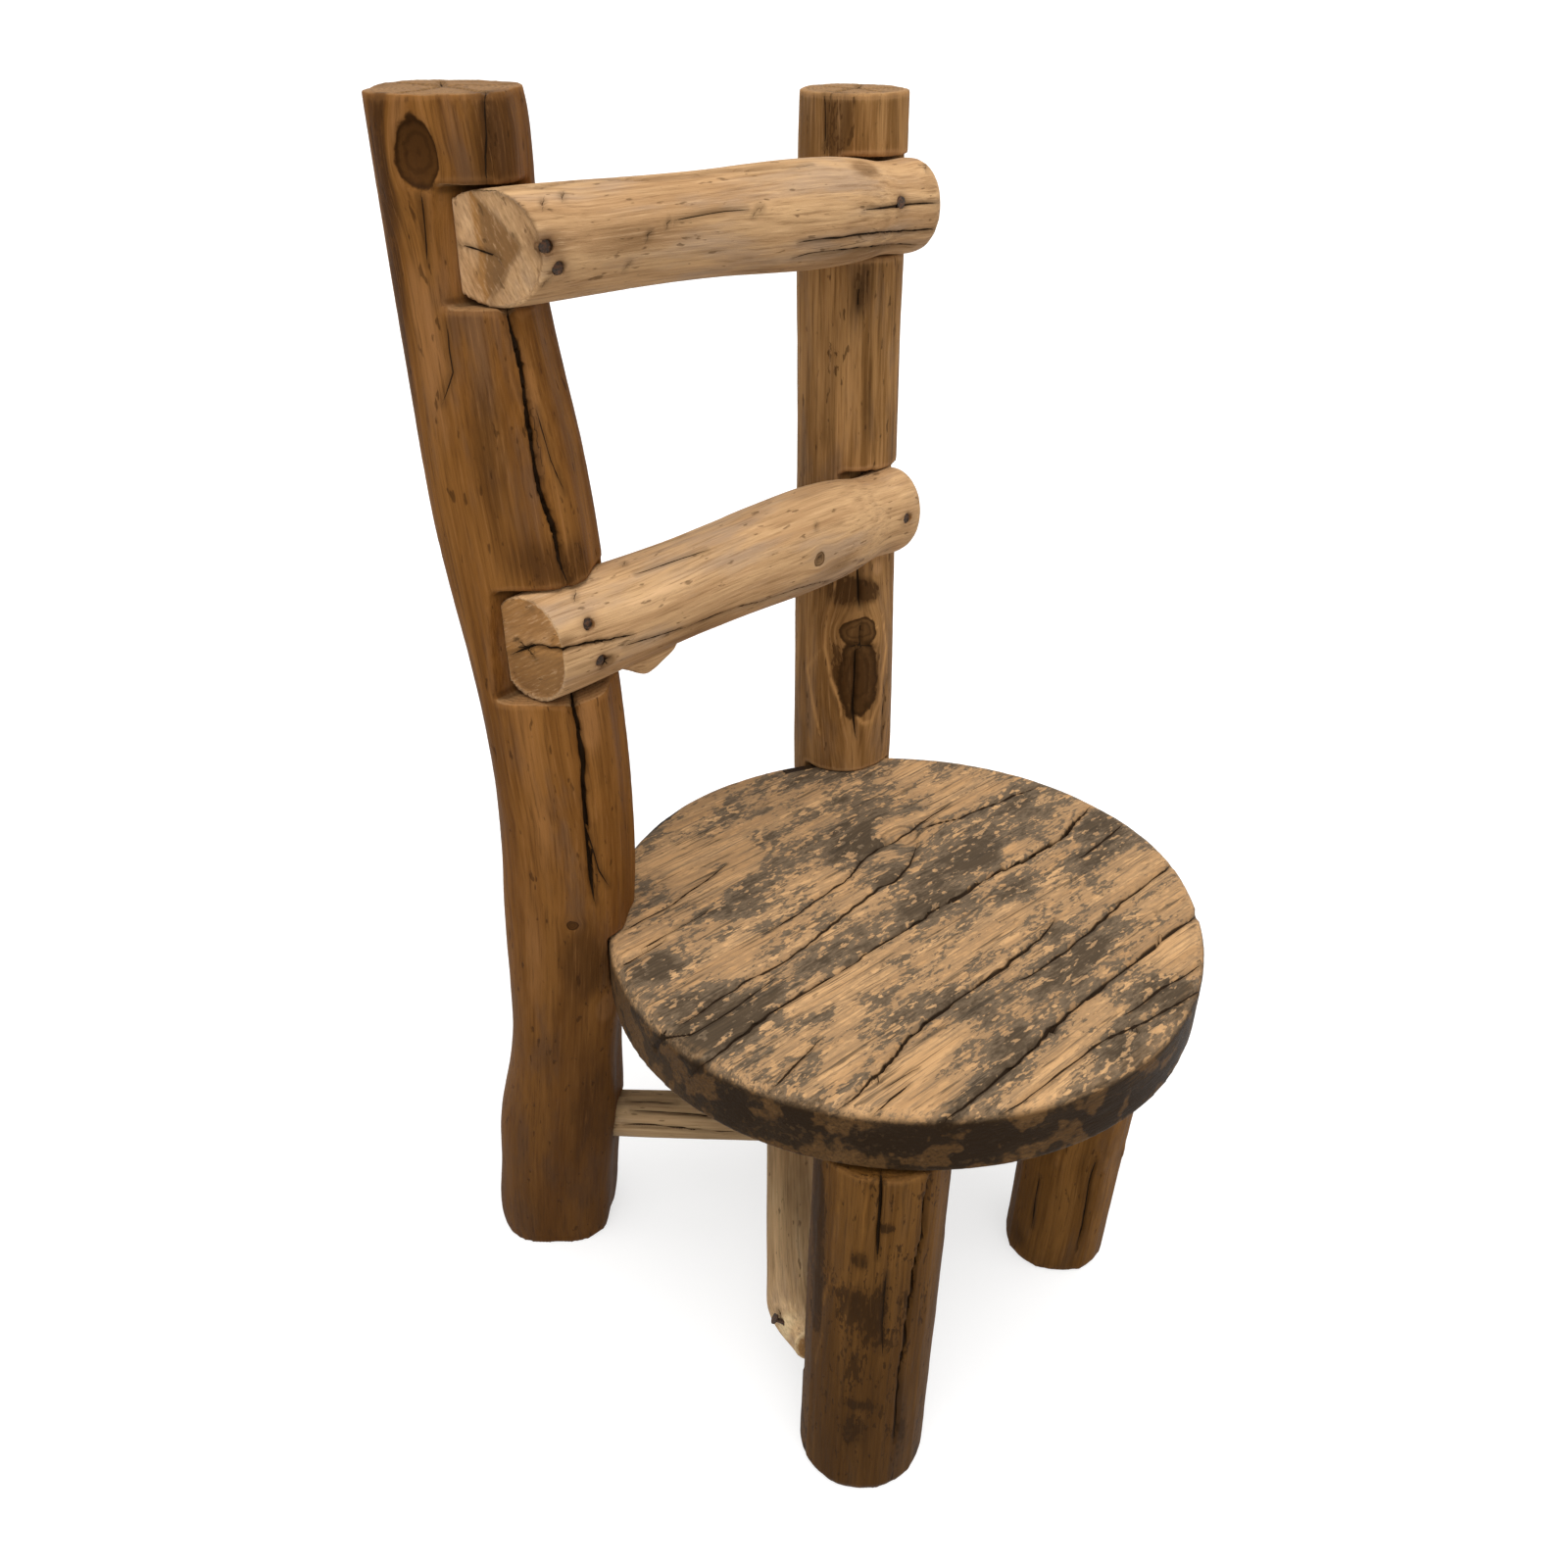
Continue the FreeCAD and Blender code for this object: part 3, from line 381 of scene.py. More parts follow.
class LogChairColours(bpy.types.PropertyGroup):
    """Colours of the chair's woods, its iron and the stage."""

    post_light: colour("Post Light", "Rubbed wood of the posts", (0.245, 0.104, 0.025))
    post_mid: colour("Post Mid", "Brown wood of the posts", (0.17, 0.067, 0.014))
    post_dark: colour("Post Dark", "Grimed wood of the posts", (0.06, 0.0235, 0.006))
    post_end: colour("Post End", "Sawn tops of the posts", (0.33, 0.19, 0.085))
    streak_light: colour("Streak Light", "Pale streaks of the right post", (0.39, 0.205, 0.075))
    streak_mid: colour("Streak Mid", "Brown wood of the right post", (0.21, 0.1, 0.03))
    streak_dark: colour("Streak Dark", "Grimed wood of the right post", (0.065, 0.029, 0.009))
    rail_light: colour("Rail Light", "Rubbed wood of the rails", (0.59, 0.366, 0.184))
    rail_mid: colour("Rail Mid", "Brown wood of the rails", (0.455, 0.266, 0.128))
    rail_dark: colour("Rail Dark", "Grimed wood of the rails", (0.19, 0.1, 0.042))
    rail_end: colour("Rail End", "Hewn ends of the rails", (0.33, 0.147, 0.036))
    leg_light: colour("Leg Light", "Rubbed wood of the legs", (0.2, 0.09, 0.022))
    leg_mid: colour("Leg Mid", "Brown wood of the legs", (0.125, 0.053, 0.011))
    leg_dark: colour("Leg Dark", "Grimed wood of the legs", (0.037, 0.016, 0.004))
    stretcher_light: colour("Stretcher Light", "Bleached wood of the stretchers", (0.8, 0.53, 0.28))
    stretcher_mid: colour("Stretcher Mid", "Tan wood of the stretchers", (0.6, 0.38, 0.195))
    stretcher_dark: colour("Stretcher Dark", "Grimed wood of the stretchers", (0.2, 0.125, 0.063))
    seat_light: colour("Seat Light", "Bare wood of the seat", (0.62, 0.372, 0.178))
    seat_mid: colour("Seat Mid", "Rubbed wood of the seat", (0.45, 0.258, 0.118))
    film_dark: colour("Film Dark", "Old finish on the seat where it is thick", (0.046, 0.035, 0.024))
    film_grey: colour("Film Grey", "Old finish on the seat where it is thin", (0.155, 0.113, 0.074))
    film_veil: colour("Film Veil", "Last trace of the old finish on the seat", (0.27, 0.172, 0.094))
    # The rim's two colours are partly grime and old finish and partly painted shade.
    rim: colour("Rim", "Grimed rim of the seat", (0.085, 0.042, 0.014))
    rim_dark: colour("Rim Dark", "Old finish on the rim of the seat", (0.016, 0.008, 0.003))
    # The inside of the cracks is painted dark: partly grime, partly painted shade.
    crack: colour("Crack", "Inside of the cracks", (0.018, 0.01, 0.005))
    iron: colour("Iron", "Nail heads", (0.05, 0.037, 0.028))
    rust: colour("Rust", "Rust on the nail heads", (0.1, 0.042, 0.018))
    floor: colour("Floor", "Pale floor", (0.45, 0.45, 0.45))


class Wiring:
    """Adds nodes to a shader or geometry tree and links them in short calls."""

    def __init__(self, tree):
        self.tree = tree

    def node(self, kind, **settings):
        made = self.tree.nodes.new(kind)
        for key, value in settings.items():
            setattr(made, key, value)
        return made

    def feed(self, socket, value):
        """Links a socket to another one, or sets its value."""
        if isinstance(value, bpy.types.NodeSocket):
            self.tree.links.new(value, socket)
        elif socket.type == "RGBA":
            socket.default_value = (*value[:3], 1)
        else:
            socket.default_value = value

    def give(self, sockets, **values):
        """Feeds sockets by their names, with _ for spaces."""
        for key, value in values.items():
            self.feed(sockets[key.replace("_", " ")], value)

    def math(self, operation, first, second=0.0):
        made = self.node("ShaderNodeMath", operation=operation)
        self.feed(made.inputs[0], first)
        self.feed(made.inputs[1], second)
        return made.outputs[0]

    def total(self, *terms):
        """The sum of value and weight pairs."""
        result = 0.0
        for value, weight in terms:
            made = self.node("ShaderNodeMath", operation="MULTIPLY_ADD")
            self.feed(made.inputs[0], value)
            self.feed(made.inputs[1], weight)
            self.feed(made.inputs[2], result)
            result = made.outputs[0]
        return result

    def vector(self, operation, first, second):
        made = self.node("ShaderNodeVectorMath", operation=operation)
        self.feed(made.inputs[0], first)
        self.feed(made.inputs[1], second)
        return made.outputs["Value" if operation == "DOT_PRODUCT" else "Vector"]

    def noise(self, vector, stretch, scale, detail, roughness, seed):
        """Noise that is drawn out along the third axis when its stretch is small."""
        made = self.node("ShaderNodeTexNoise", noise_dimensions="4D")
        stretched = self.vector("MULTIPLY", vector, (1, 1, stretch))
        self.give(made.inputs, Vector=stretched, W=seed, Scale=scale, Detail=detail, Roughness=roughness)
        return made.outputs[0]

    def fade(self, value, low, high):
        """A smooth step from 0 at low to 1 at high."""
        made = self.node("ShaderNodeMapRange", interpolation_type="SMOOTHSTEP")
        self.give(made.inputs, Value=value, From_Min=low, From_Max=high)
        return made.outputs[0]

    def centred(self, value):
        """A value from 0 to 1, moved to lie about 0."""
        return self.math("SUBTRACT", value, 0.5)

    def mix(self, share, first, second):
        made = self.node("ShaderNodeMix", data_type="RGBA")
        self.feed(made.inputs[0], share)
        self.feed(made.inputs[6], first)
        self.feed(made.inputs[7], second)
        return made.outputs[2]

    def layered(self, tone, *layers):
        """A tone under layers of paint, each laid on through a mask at a share of its strength."""
        for mask, share, paint in layers:
            tone = self.mix(self.math("MULTIPLY", mask, share), tone, paint)
        return tone

    def attribute(self, name, output="Fac"):
        return self.node("ShaderNodeAttribute", attribute_name=name).outputs[output]

    def object_place(self):
        return self.node("ShaderNodeTexCoord").outputs["Object"]

    def group(self, name, **values):
        """The outputs of a shared node group, with its inputs set."""
        made = self.node("ShaderNodeGroup", node_tree=shared_tree(name))
        self.give(made.inputs, **values)
        return made.outputs


def shared_tree(name):
    """A node group that pieces share, made when it is first asked for."""
    return bpy.data.node_groups.get(name) or TREE_MAKERS[name](name)


def floats(*names):
    """Number sockets by their names."""
    return [(name, "Float") for name in names]


def open_group(name, kind, inputs, outputs):
    """A new node group with its sockets. Gives its wiring, its inputs and its outputs."""
    tree = bpy.data.node_groups.new(name, kind)
    for in_out, sockets in (("INPUT", inputs), ("OUTPUT", outputs)):
        for socket_name, socket_type in sockets:
            tree.interface.new_socket(
                name=socket_name, in_out=in_out, socket_type="NodeSocket" + socket_type)
    wiring = Wiring(tree)
    return wiring, wiring.node("NodeGroupInput").outputs, wiring.node("NodeGroupOutput").inputs


def grain_group(name):
    """Fibres, streaks, patches, growth rings and specks that follow a piece's grain."""
    wiring, given, made = open_group(
        name, "ShaderNodeTree",
        [("Grain", "Vector"), *floats("Fibre Scale", "Streak Scale", "Ring Spacing", "Seed")],
        floats("Fibre", "Streak", "Patches", "Rings", "Specks"))
    grain, seed = given["Grain"], given["Seed"]
    fibre = wiring.noise(
        grain, stretch=0.03, scale=given["Fibre Scale"], detail=5, roughness=0.68, seed=seed)
    streak = wiring.noise(
        grain, stretch=0.07, scale=given["Streak Scale"], detail=4, roughness=0.6, seed=seed)
    patches = wiring.noise(grain, stretch=0.3, scale=16, detail=4, roughness=0.55, seed=seed)
    specks = wiring.noise(grain, stretch=0.3, scale=230, detail=2, roughness=0.5, seed=seed)
    warp = wiring.noise(grain, stretch=0.12, scale=26, detail=3, roughness=0.5, seed=seed)
    flat = wiring.vector("MULTIPLY", grain, (1, 1, 0))
    radius = wiring.math("SQRT", wiring.vector("DOT_PRODUCT", flat, flat))
    turns = wiring.math("DIVIDE", wiring.total((radius, 1), (warp, RING_WARP)), given["Ring Spacing"])
    wave = wiring.math("SINE", wiring.math("MULTIPLY", turns, math.tau))
    wiring.give(
        made, Fibre=fibre, Streak=streak, Patches=patches, Rings=wiring.fade(wave, -0.9, 1.0),
        Specks=wiring.fade(specks, 0.64, 0.7))
    return wiring.tree


def crack_group(name):
    """Crisp cracks from the signed side of the nearest one, with a soft darkening beside them, partly grime
    and partly painted shade.
    """
    wiring, given, made = open_group(
        name, "ShaderNodeTree", floats("Side", "Near"), floats("Crack", "Halo"))
    core = wiring.fade(wiring.math("ABSOLUTE", given["Side"]), 1.1, 0.7)
    close = wiring.fade(given["Near"], 5 * MM, 3.5 * MM)
    grime_and_shade_halo = wiring.fade(given["Near"], 5 * MM, 0.5 * MM)
    wiring.give(made, Crack=wiring.math("MULTIPLY", core, close), Halo=grime_and_shade_halo)
    return wiring.tree


def wear_group(name):
    """Rubbed edges, and hollows and corners darkened, both broken up by the fibres."""
    wiring, given, made = open_group(
        name, "ShaderNodeTree", floats("Edge", "Fibre"), floats("Wear", "Grime"))
    fibre = wiring.centred(given["Fibre"])
    proud = wiring.total((given["Edge"], 1), (fibre, 1.2))
    sunken = wiring.total((given["Edge"], -1), (fibre, 0.8))
    wiring.give(made, Wear=wiring.fade(proud, 0.3, 0.9), Grime=wiring.fade(sunken, 0.15, 0.9))
    return wiring.tree


def knot_group(name):
    """A knot's dark figure and its rings."""
    wiring, given, made = open_group(
        name, "ShaderNodeTree", floats("Knot", "Fibre"), floats("Figure", "Rings"))
    uneven = wiring.noise(wiring.object_place(), stretch=1, scale=110, detail=3, roughness=0.6, seed=3.0)
    warped = wiring.total(
        (given["Knot"], 1), (wiring.centred(given["Fibre"]), 0.12), (wiring.centred(uneven), 0.45))
    wave = wiring.math("SINE", wiring.math("MULTIPLY", warped, KNOT_RING_PITCH))
    border = wiring.fade(warped, 0.38, 0.1)
    faint = wiring.math("MULTIPLY", wiring.fade(wave, 0.0, 1.0), 0.45)
    wiring.give(made, Figure=wiring.fade(warped, 0.0, 0.14), Rings=wiring.math("MAXIMUM", border, faint))
    return wiring.tree


def film_group(name):
    """An old finish that has flaked away along the grain: thick where it holds, thin where it is rubbed."""
    wiring, given, made = open_group(
        name, "ShaderNodeTree", [("Grain", "Vector"), *floats("Stain", "Cover", "Seed")],
        floats("Film", "Thin", "Depth"))
    grain, seed = given["Grain"], given["Seed"]
    coarse = wiring.noise(grain, stretch=0.5, scale=24, detail=4, roughness=0.6, seed=seed)
    medium = wiring.noise(grain, stretch=0.36, scale=88, detail=5, roughness=0.7, seed=seed)
    fine = wiring.noise(grain, stretch=0.3, scale=480, detail=3, roughness=0.6, seed=seed)
    flecks = wiring.noise(grain, stretch=0.4, scale=240, detail=2, roughness=0.5, seed=seed)
    hold = wiring.total(
        (given["Stain"], 0.55), (wiring.centred(coarse), 1.3), (wiring.centred(medium), 1.2),
        (wiring.centred(fine), 0.8), (wiring.fade(flecks, 0.57, 0.62), -0.4), (given["Cover"], 1))
    wiring.give(
        made, Film=wiring.fade(hold, 0.0, 0.045), Thin=wiring.fade(hold, -0.42, 0.02),
        Depth=wiring.fade(hold, 0.0, 0.38))
    return wiring.tree


def level_group(name):
    """How far a place is below a level: 0 at the high one, 1 at the low one."""
    wiring, given, made = open_group(name, "ShaderNodeTree", floats("High", "Low"), floats("Shade"))
    height = wiring.vector("DOT_PRODUCT", wiring.object_place(), (0, 0, 1))
    wiring.give(made, Shade=wiring.fade(height, given["High"], given["Low"]))
    return wiring.tree


def tones(wood):
    """The light, the mid and the dark tone of a wood."""
    colours = bpy.context.scene.log_chair_colours
    return [getattr(colours, wood + shade) for shade in ("_light", "_mid", "_dark")]


def open_material(name):
    """A new material with an empty tree but for its Principled shader and output."""
    material = bpy.data.materials.new(name)
    material.use_nodes = True
    wiring = Wiring(material.node_tree)
    shader = material.node_tree.nodes["Principled BSDF"]
    return material, wiring, shader


def wood_masks(wiring, seed, fibre_scale, streak_scale, ring_spacing, film_cover):
    """The masks that every wood is drawn from: its grain, its edges, its knots and its old finish."""
    grain = wiring.attribute("grain", "Vector")
    wood = wiring.group(
        "wood_grain", Grain=grain, Fibre_Scale=fibre_scale, Streak_Scale=streak_scale,
        Ring_Spacing=ring_spacing, Seed=seed)
    wear = wiring.group("edge_wear", Edge=wiring.attribute("edge"), Fibre=wood["Fibre"])
    knot = wiring.group("knot_figure", Knot=wiring.attribute("knot"), Fibre=wood["Streak"])
    film = wiring.group(
        "flaked_film", Grain=grain, Stain=wiring.attribute("stain"), Cover=film_cover, Seed=seed)
    return wood, wear, knot, film


def cracked(wiring, tone, paint):
    """The tone with its cracks drawn in, and the crack mask."""
    lines = wiring.group(
        "crack_lines", Side=wiring.attribute("crack_side"), Near=wiring.attribute("crack_near"))
    # The cracks and the halo beside them are painted dark: partly grime, partly painted shade.
    tone = wiring.layered(tone, (lines["Halo"], 0.28, paint), (lines["Crack"], 0.96, paint))
    return tone, lines["Crack"]


def raise_surface(wiring, shader, height, distance, strength):
    """Raises a shader's surface by a height mask."""
    bump = wiring.node("ShaderNodeBump")
    wiring.give(bump.inputs, Strength=strength, Distance=distance, Height=height)
    wiring.give(shader.inputs, Normal=bump.outputs["Normal"])


def finish_wood(wiring, shader, tone, roughness, height):
    """Feeds a wood's colour, roughness and raised grain to its shader."""
    wiring.give(shader.inputs, Base_Color=tone, Roughness=roughness, Specular_IOR_Level=0.03)
    raise_surface(wiring, shader, height, distance=1.0 * MM, strength=0.8)


def timber_material(
        name, palette, end_tone, seed, streak_scale, film_cover, rubbed, ring_share, painted_shade_share=0.6):
    """Weathered log wood from a light, a mid and a dark tone: streaks, rings, knots, seams and cracks."""
    light, mid, dark = palette
    # Tones worked out from these three: worn pale, the ridge of a seam, weathered dull, and deep for
    # hollows, knot rings, specks and the painted shade near the floor.
    pale = [min(1.0, channel * 1.3 + sum(light) * 0.06) for channel in light]
    ridge = [min(1.0, channel * 1.8) for channel in light]
    dull = [channel * 0.55 + sum(mid) * 0.13 for channel in mid]
    deep = [channel * 0.55 for channel in dark]
    colours = bpy.context.scene.log_chair_colours
    material, wiring, shader = open_material(name)
    wood, wear, knot, film = wood_masks(
        wiring, seed, fibre_scale=520.0, streak_scale=streak_scale, ring_spacing=3.4 * MM,
        film_cover=film_cover)

    grain = wiring.attribute("grain", "Vector")
    end = wiring.attribute("end")
    weathered = wiring.noise(
        grain, stretch=0.2, scale=34, detail=4, roughness=0.65, seed=seed + WEATHERING_SEED)
    # The stain attribute carries stains and also painted shade and painted light.
    patches_stains_and_shading = wiring.total((wood["Patches"], 1), (wiring.attribute("stain"), 0.42))
    ringed = wiring.total((end, ring_share), (0.08, 1))
    seam = wiring.math("MULTIPLY", wiring.attribute("seam"), wiring.fade(wood["Patches"], 0.62, 0.4))
    rings = wiring.math("MULTIPLY", knot["Figure"], knot["Rings"])
    # Painted shade: the logs are darkened towards the floor, below the level where it starts.
    low = wiring.group("level_shade", High=LOW_SHADE_TOP, Low=0.0)["Shade"]
    tone = wiring.mix(wiring.fade(wood["Streak"], 0.38, 0.62), mid, light)
    tone = wiring.layered(
        tone,
        (wiring.fade(weathered, 0.48, 0.66), 0.6, dull),
        (wiring.fade(end, 0.6, 0.85), 0.8, end_tone),
        (wiring.fade(patches_stains_and_shading, 0.5, 0.8), 0.75, dark),
        (wiring.fade(patches_stains_and_shading, 0.42, 0.15), 0.6, pale),
        (film["Film"], 0.8, dark),
        (wood["Rings"], ringed, dark),
        (wiring.fade(wood["Fibre"], 0.52, 0.32), 0.55, dark),
        (wiring.fade(wood["Fibre"], 0.52, 0.7), 0.35, pale),
        (wear["Wear"], rubbed, pale),
        # Hollows and corners of the mesh are darkened with the deep tone.
        (wear["Grime"], 0.6, deep),
        (seam, 0.6, ridge),
        (knot["Figure"], 0.8, dark),
        (rings, 0.9, deep),
        (wood["Specks"], 0.6, deep),
        (wiring.attribute("rust"), 0.75, colours.rust),
        (low, painted_shade_share, deep))
    tone, crack = cracked(wiring, tone, colours.crack)

    roughness = wiring.total((wood["Fibre"], 0.3), (wood["Patches"], 0.15), (0.36, 1))
    height = wiring.total(
        (wood["Fibre"], 0.8), (wood["Streak"], 0.5), (wood["Specks"], -0.4), (rings, -0.3), (crack, -1.5))
    finish_wood(wiring, shader, tone, roughness, height)
    return material


def seat_material(top):
    """Bare pale wood under a dark old finish that has flaked along the grain, with a rim darkened partly by
    grime and old finish and partly by painted shade.
    """
    colours = bpy.context.scene.log_chair_colours
    material, wiring, shader = open_material("seat_wood")
    seed = 4.0
    wood, wear, knot, film = wood_masks(
        wiring, seed, fibre_scale=480.0, streak_scale=70.0, ring_spacing=4.5 * MM, film_cover=0.0)
    place, fibre = wiring.object_place(), wood["Fibre"]

    dry = wiring.mix(film["Depth"], colours.film_grey, colours.film_dark)
    dry = wiring.layered(dry, (wiring.fade(fibre, 0.5, 0.72), 0.45, colours.film_grey))
    blotch = wiring.total(
        (wiring.noise(place, stretch=1, scale=42, detail=3, roughness=0.5, seed=seed), 1),
        (wiring.attribute("stain"), 0.1))
    # The rim is painted darker, partly grime and old finish and partly painted shade.
    grimed_shaded_rim = wiring.mix(wiring.fade(blotch, 0.47, 0.52), colours.rim, colours.rim_dark)
    grimed_shaded_rim = wiring.layered(grimed_shaded_rim, (wiring.fade(fibre, 0.55, 0.35), 0.6, colours.rim_dark))
    rim = wiring.group("level_shade", High=top - RIM_START, Low=top - RIM_FULL)["Shade"]
    rings = wiring.math("MULTIPLY", knot["Figure"], knot["Rings"])
    hairs = wiring.noise(
        wiring.attribute("grain", "Vector"), stretch=0.045, scale=330, detail=2, roughness=0.5, seed=seed)
    tone = wiring.mix(wiring.fade(wood["Streak"], 0.36, 0.64), colours.seat_mid, colours.seat_light)
    tone = wiring.layered(
        tone,
        (wood["Rings"], 0.22, colours.seat_mid),
        (wiring.fade(fibre, 0.54, 0.34), 0.8, colours.film_grey),
        (film["Thin"], 0.62, colours.film_veil),
        (film["Film"], 0.9, dry),
        (wear["Wear"], 0.35, colours.seat_mid),
        # Hollows and corners of the mesh are darkened with the dark film tone.
        (wear["Grime"], 0.6, colours.film_dark),
        (rings, 0.55, colours.film_dark),
        (wood["Specks"], 0.4, colours.film_dark),
        (wiring.fade(hairs, 0.6, 0.66), 0.6, colours.film_dark),
        (rim, 0.92, grimed_shaded_rim))
    tone, crack = cracked(wiring, tone, colours.crack)

    roughness = wiring.total((fibre, 0.25), (film["Film"], -0.06), (0.45, 1))
    height = wiring.total(
        (fibre, 0.9), (wood["Streak"], 0.4), (film["Film"], 0.35), (rings, -0.4), (crack, -1.5))
    finish_wood(wiring, shader, tone, roughness, height)
    return material


def iron_material():
    """Dull iron with rust in patches."""
    colours = bpy.context.scene.log_chair_colours
    material, wiring, shader = open_material("nail_iron")
    patches = wiring.noise(wiring.object_place(), stretch=1, scale=420, detail=4, roughness=0.6, seed=1.0)
    rust = wiring.fade(patches, 0.42, 0.6)
    wiring.give(
        shader.inputs, Base_Color=wiring.mix(rust, colours.iron, colours.rust),
        Metallic=wiring.total((rust, -0.8), (0.85, 1)), Roughness=wiring.total((rust, 0.3), (0.5, 1)))
    raise_surface(wiring, shader, rust, distance=0.3 * MM, strength=1.0)
    return material


def wedge_material():
    """Plain split wood for the hidden wedges."""
    colours = bpy.context.scene.log_chair_colours
    material, wiring, shader = open_material("wedge_wood")
    fibre = wiring.noise(wiring.object_place(), stretch=0.05, scale=600, detail=4, roughness=0.6, seed=2.0)
    tone = wiring.mix(wiring.fade(fibre, 0.35, 0.65), colours.stretcher_mid, colours.stretcher_light)
    wiring.give(shader.inputs, Base_Color=tone, Roughness=wiring.total((fibre, 0.2), (0.55, 1)))
    return material


def read_vector(wiring, name):
    """A vector that is stored on the points of the geometry."""
    node = wiring.node("GeometryNodeInputNamedAttribute", data_type="FLOAT_VECTOR")
    node.inputs["Name"].default_value = name
    return next(socket for socket in node.outputs if socket.enabled and socket.name == "Attribute")


def weathering_tree(name):
    """Geometry nodes that swell a timber along its grain, raise the grain and open the cracks."""
    wiring, given, made = open_group(
        name, "GeometryNodeTree",
        [("Geometry", "Geometry"), *floats("Lump Depth", "Ripple Depth", "Seed"), ("Material", "Material")],
        [("Geometry", "Geometry")])
    grain, seed = read_vector(wiring, "grain"), given["Seed"]
    lumps = wiring.noise(grain, stretch=0.25, scale=28, detail=2, roughness=0.5, seed=seed)
    ripple = wiring.noise(grain, stretch=0.06, scale=170, detail=3, roughness=0.6, seed=seed)
    rise = wiring.total(
        (wiring.centred(lumps), given["Lump Depth"]), (wiring.centred(ripple), given["Ripple Depth"]))
    outward = wiring.node("ShaderNodeVectorMath", operation="SCALE")
    wiring.feed(outward.inputs[0], wiring.node("GeometryNodeInputNormal").outputs["Normal"])
    wiring.feed(outward.inputs["Scale"], rise)
    offset = wiring.vector("ADD", outward.outputs["Vector"], read_vector(wiring, "sink"))
    moved = wiring.node("GeometryNodeSetPosition")
    wiring.give(moved.inputs, Geometry=given["Geometry"], Offset=offset)
    close_tree(wiring, moved.outputs["Geometry"], given["Material"], made["Geometry"])
    return wiring.tree


def nail_tree(name):
    """Geometry nodes that set a forged nail at every point, turned to the point's aim."""
    wiring, given, made = open_group(
        name, "GeometryNodeTree",
        [("Geometry", "Geometry"), *floats("Head Radius", "Head Thickness", "Shank Radius", "Length"),
         ("Seed", "Int"), ("Material", "Material")],
        [("Geometry", "Geometry")])
    joined = wiring.node("GeometryNodeJoinGeometry")
    for radius, depth, sides in (("Head Radius", "Head Thickness", 10), ("Shank Radius", "Length", 8)):
        bar = wiring.node("GeometryNodeMeshCylinder")
        wiring.give(
            bar.inputs, Vertices=sides, Side_Segments=2, Fill_Segments=2, Radius=given[radius],
            Depth=given[depth])
        drop = wiring.node("ShaderNodeCombineXYZ")
        wiring.give(drop.inputs, Z=wiring.math("MULTIPLY", given[depth], -0.5))
        shifted = wiring.node("GeometryNodeTransform")
        wiring.give(shifted.inputs, Geometry=bar.outputs["Mesh"], Translation=drop.outputs["Vector"])
        wiring.give(joined.inputs, Geometry=shifted.outputs["Geometry"])
    dents = wiring.node("FunctionNodeRandomValue", data_type="FLOAT_VECTOR")
    dents.inputs["Min"].default_value = (-NAIL_DENT, -NAIL_DENT, -NAIL_DENT_DOWN)
    dents.inputs["Max"].default_value = (NAIL_DENT, NAIL_DENT, 0)
    wiring.give(dents.inputs, Seed=given["Seed"])
    hammered = wiring.node("GeometryNodeSetPosition")
    wiring.give(hammered.inputs, Geometry=joined.outputs["Geometry"], Offset=dents.outputs[0])
    turned = wiring.node("FunctionNodeAlignRotationToVector", axis="Z")
    wiring.give(turned.inputs, Vector=read_vector(wiring, "aim"))
    placed = wiring.node("GeometryNodeInstanceOnPoints")
    wiring.give(
        placed.inputs, Points=given["Geometry"], Instance=hammered.outputs["Geometry"],
        Rotation=turned.outputs["Rotation"])
    close_tree(wiring, placed.outputs["Instances"], given["Material"], made["Geometry"])
    return wiring.tree


def close_tree(wiring, geometry, material, output):
    """Ends a geometry tree in real geometry with its material."""
    real = wiring.node("GeometryNodeRealizeInstances")
    wiring.give(real.inputs, Geometry=geometry)
    painted = wiring.node("GeometryNodeSetMaterial")
    wiring.give(painted.inputs, Geometry=real.outputs["Geometry"], Material=material)
    wiring.feed(output, painted.outputs["Geometry"])


TREE_MAKERS = {
    "wood_grain": grain_group,
    "crack_lines": crack_group,
    "edge_wear": wear_group,
    "knot_figure": knot_group,
    "flaked_film": film_group,
    "level_shade": level_group,
    "weathered_timber": weathering_tree,
    "forged_nails": nail_tree,
}


def run_tree(piece, name, **values):
    """Runs a geometry tree on a piece with its inputs set, and keeps the result as a plain mesh."""
    tree = shared_tree(name)
    modifier = piece.modifiers.new(name, "NODES")
    modifier.node_group = tree
    for item in tree.interface.items_tree:
        key = item.name.replace(" ", "_")
        if item.in_out == "INPUT" and key in values:
            modifier[item.identifier] = values[key]
    settle(piece)


def settle(piece):
    """Turns a piece's live modifiers into its plain mesh."""
    graph = bpy.context.evaluated_depsgraph_get()
    mesh = bpy.data.meshes.new_from_object(piece.evaluated_get(graph), depsgraph=graph)
    piece.modifiers.clear()
    old = piece.data
    piece.data = mesh
    bpy.data.meshes.remove(old)
    mesh.name = piece.name


def new_piece(name, mesh):
    piece = bpy.data.objects.new(name, mesh)
    bpy.context.scene.collection.objects.link(piece)
    return piece


def hand_over(piece, node):
    """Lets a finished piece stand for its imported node."""
    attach(piece, "root")
    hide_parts(node)


def merged_shape(node):
    """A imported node's mesh with its split corners joined."""
    shape = bmesh.new()
    shape.from_mesh(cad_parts[node].data)
    bmesh.ops.remove_doubles(shape, verts=shape.verts, dist=MERGE_DISTANCE)
    return shape


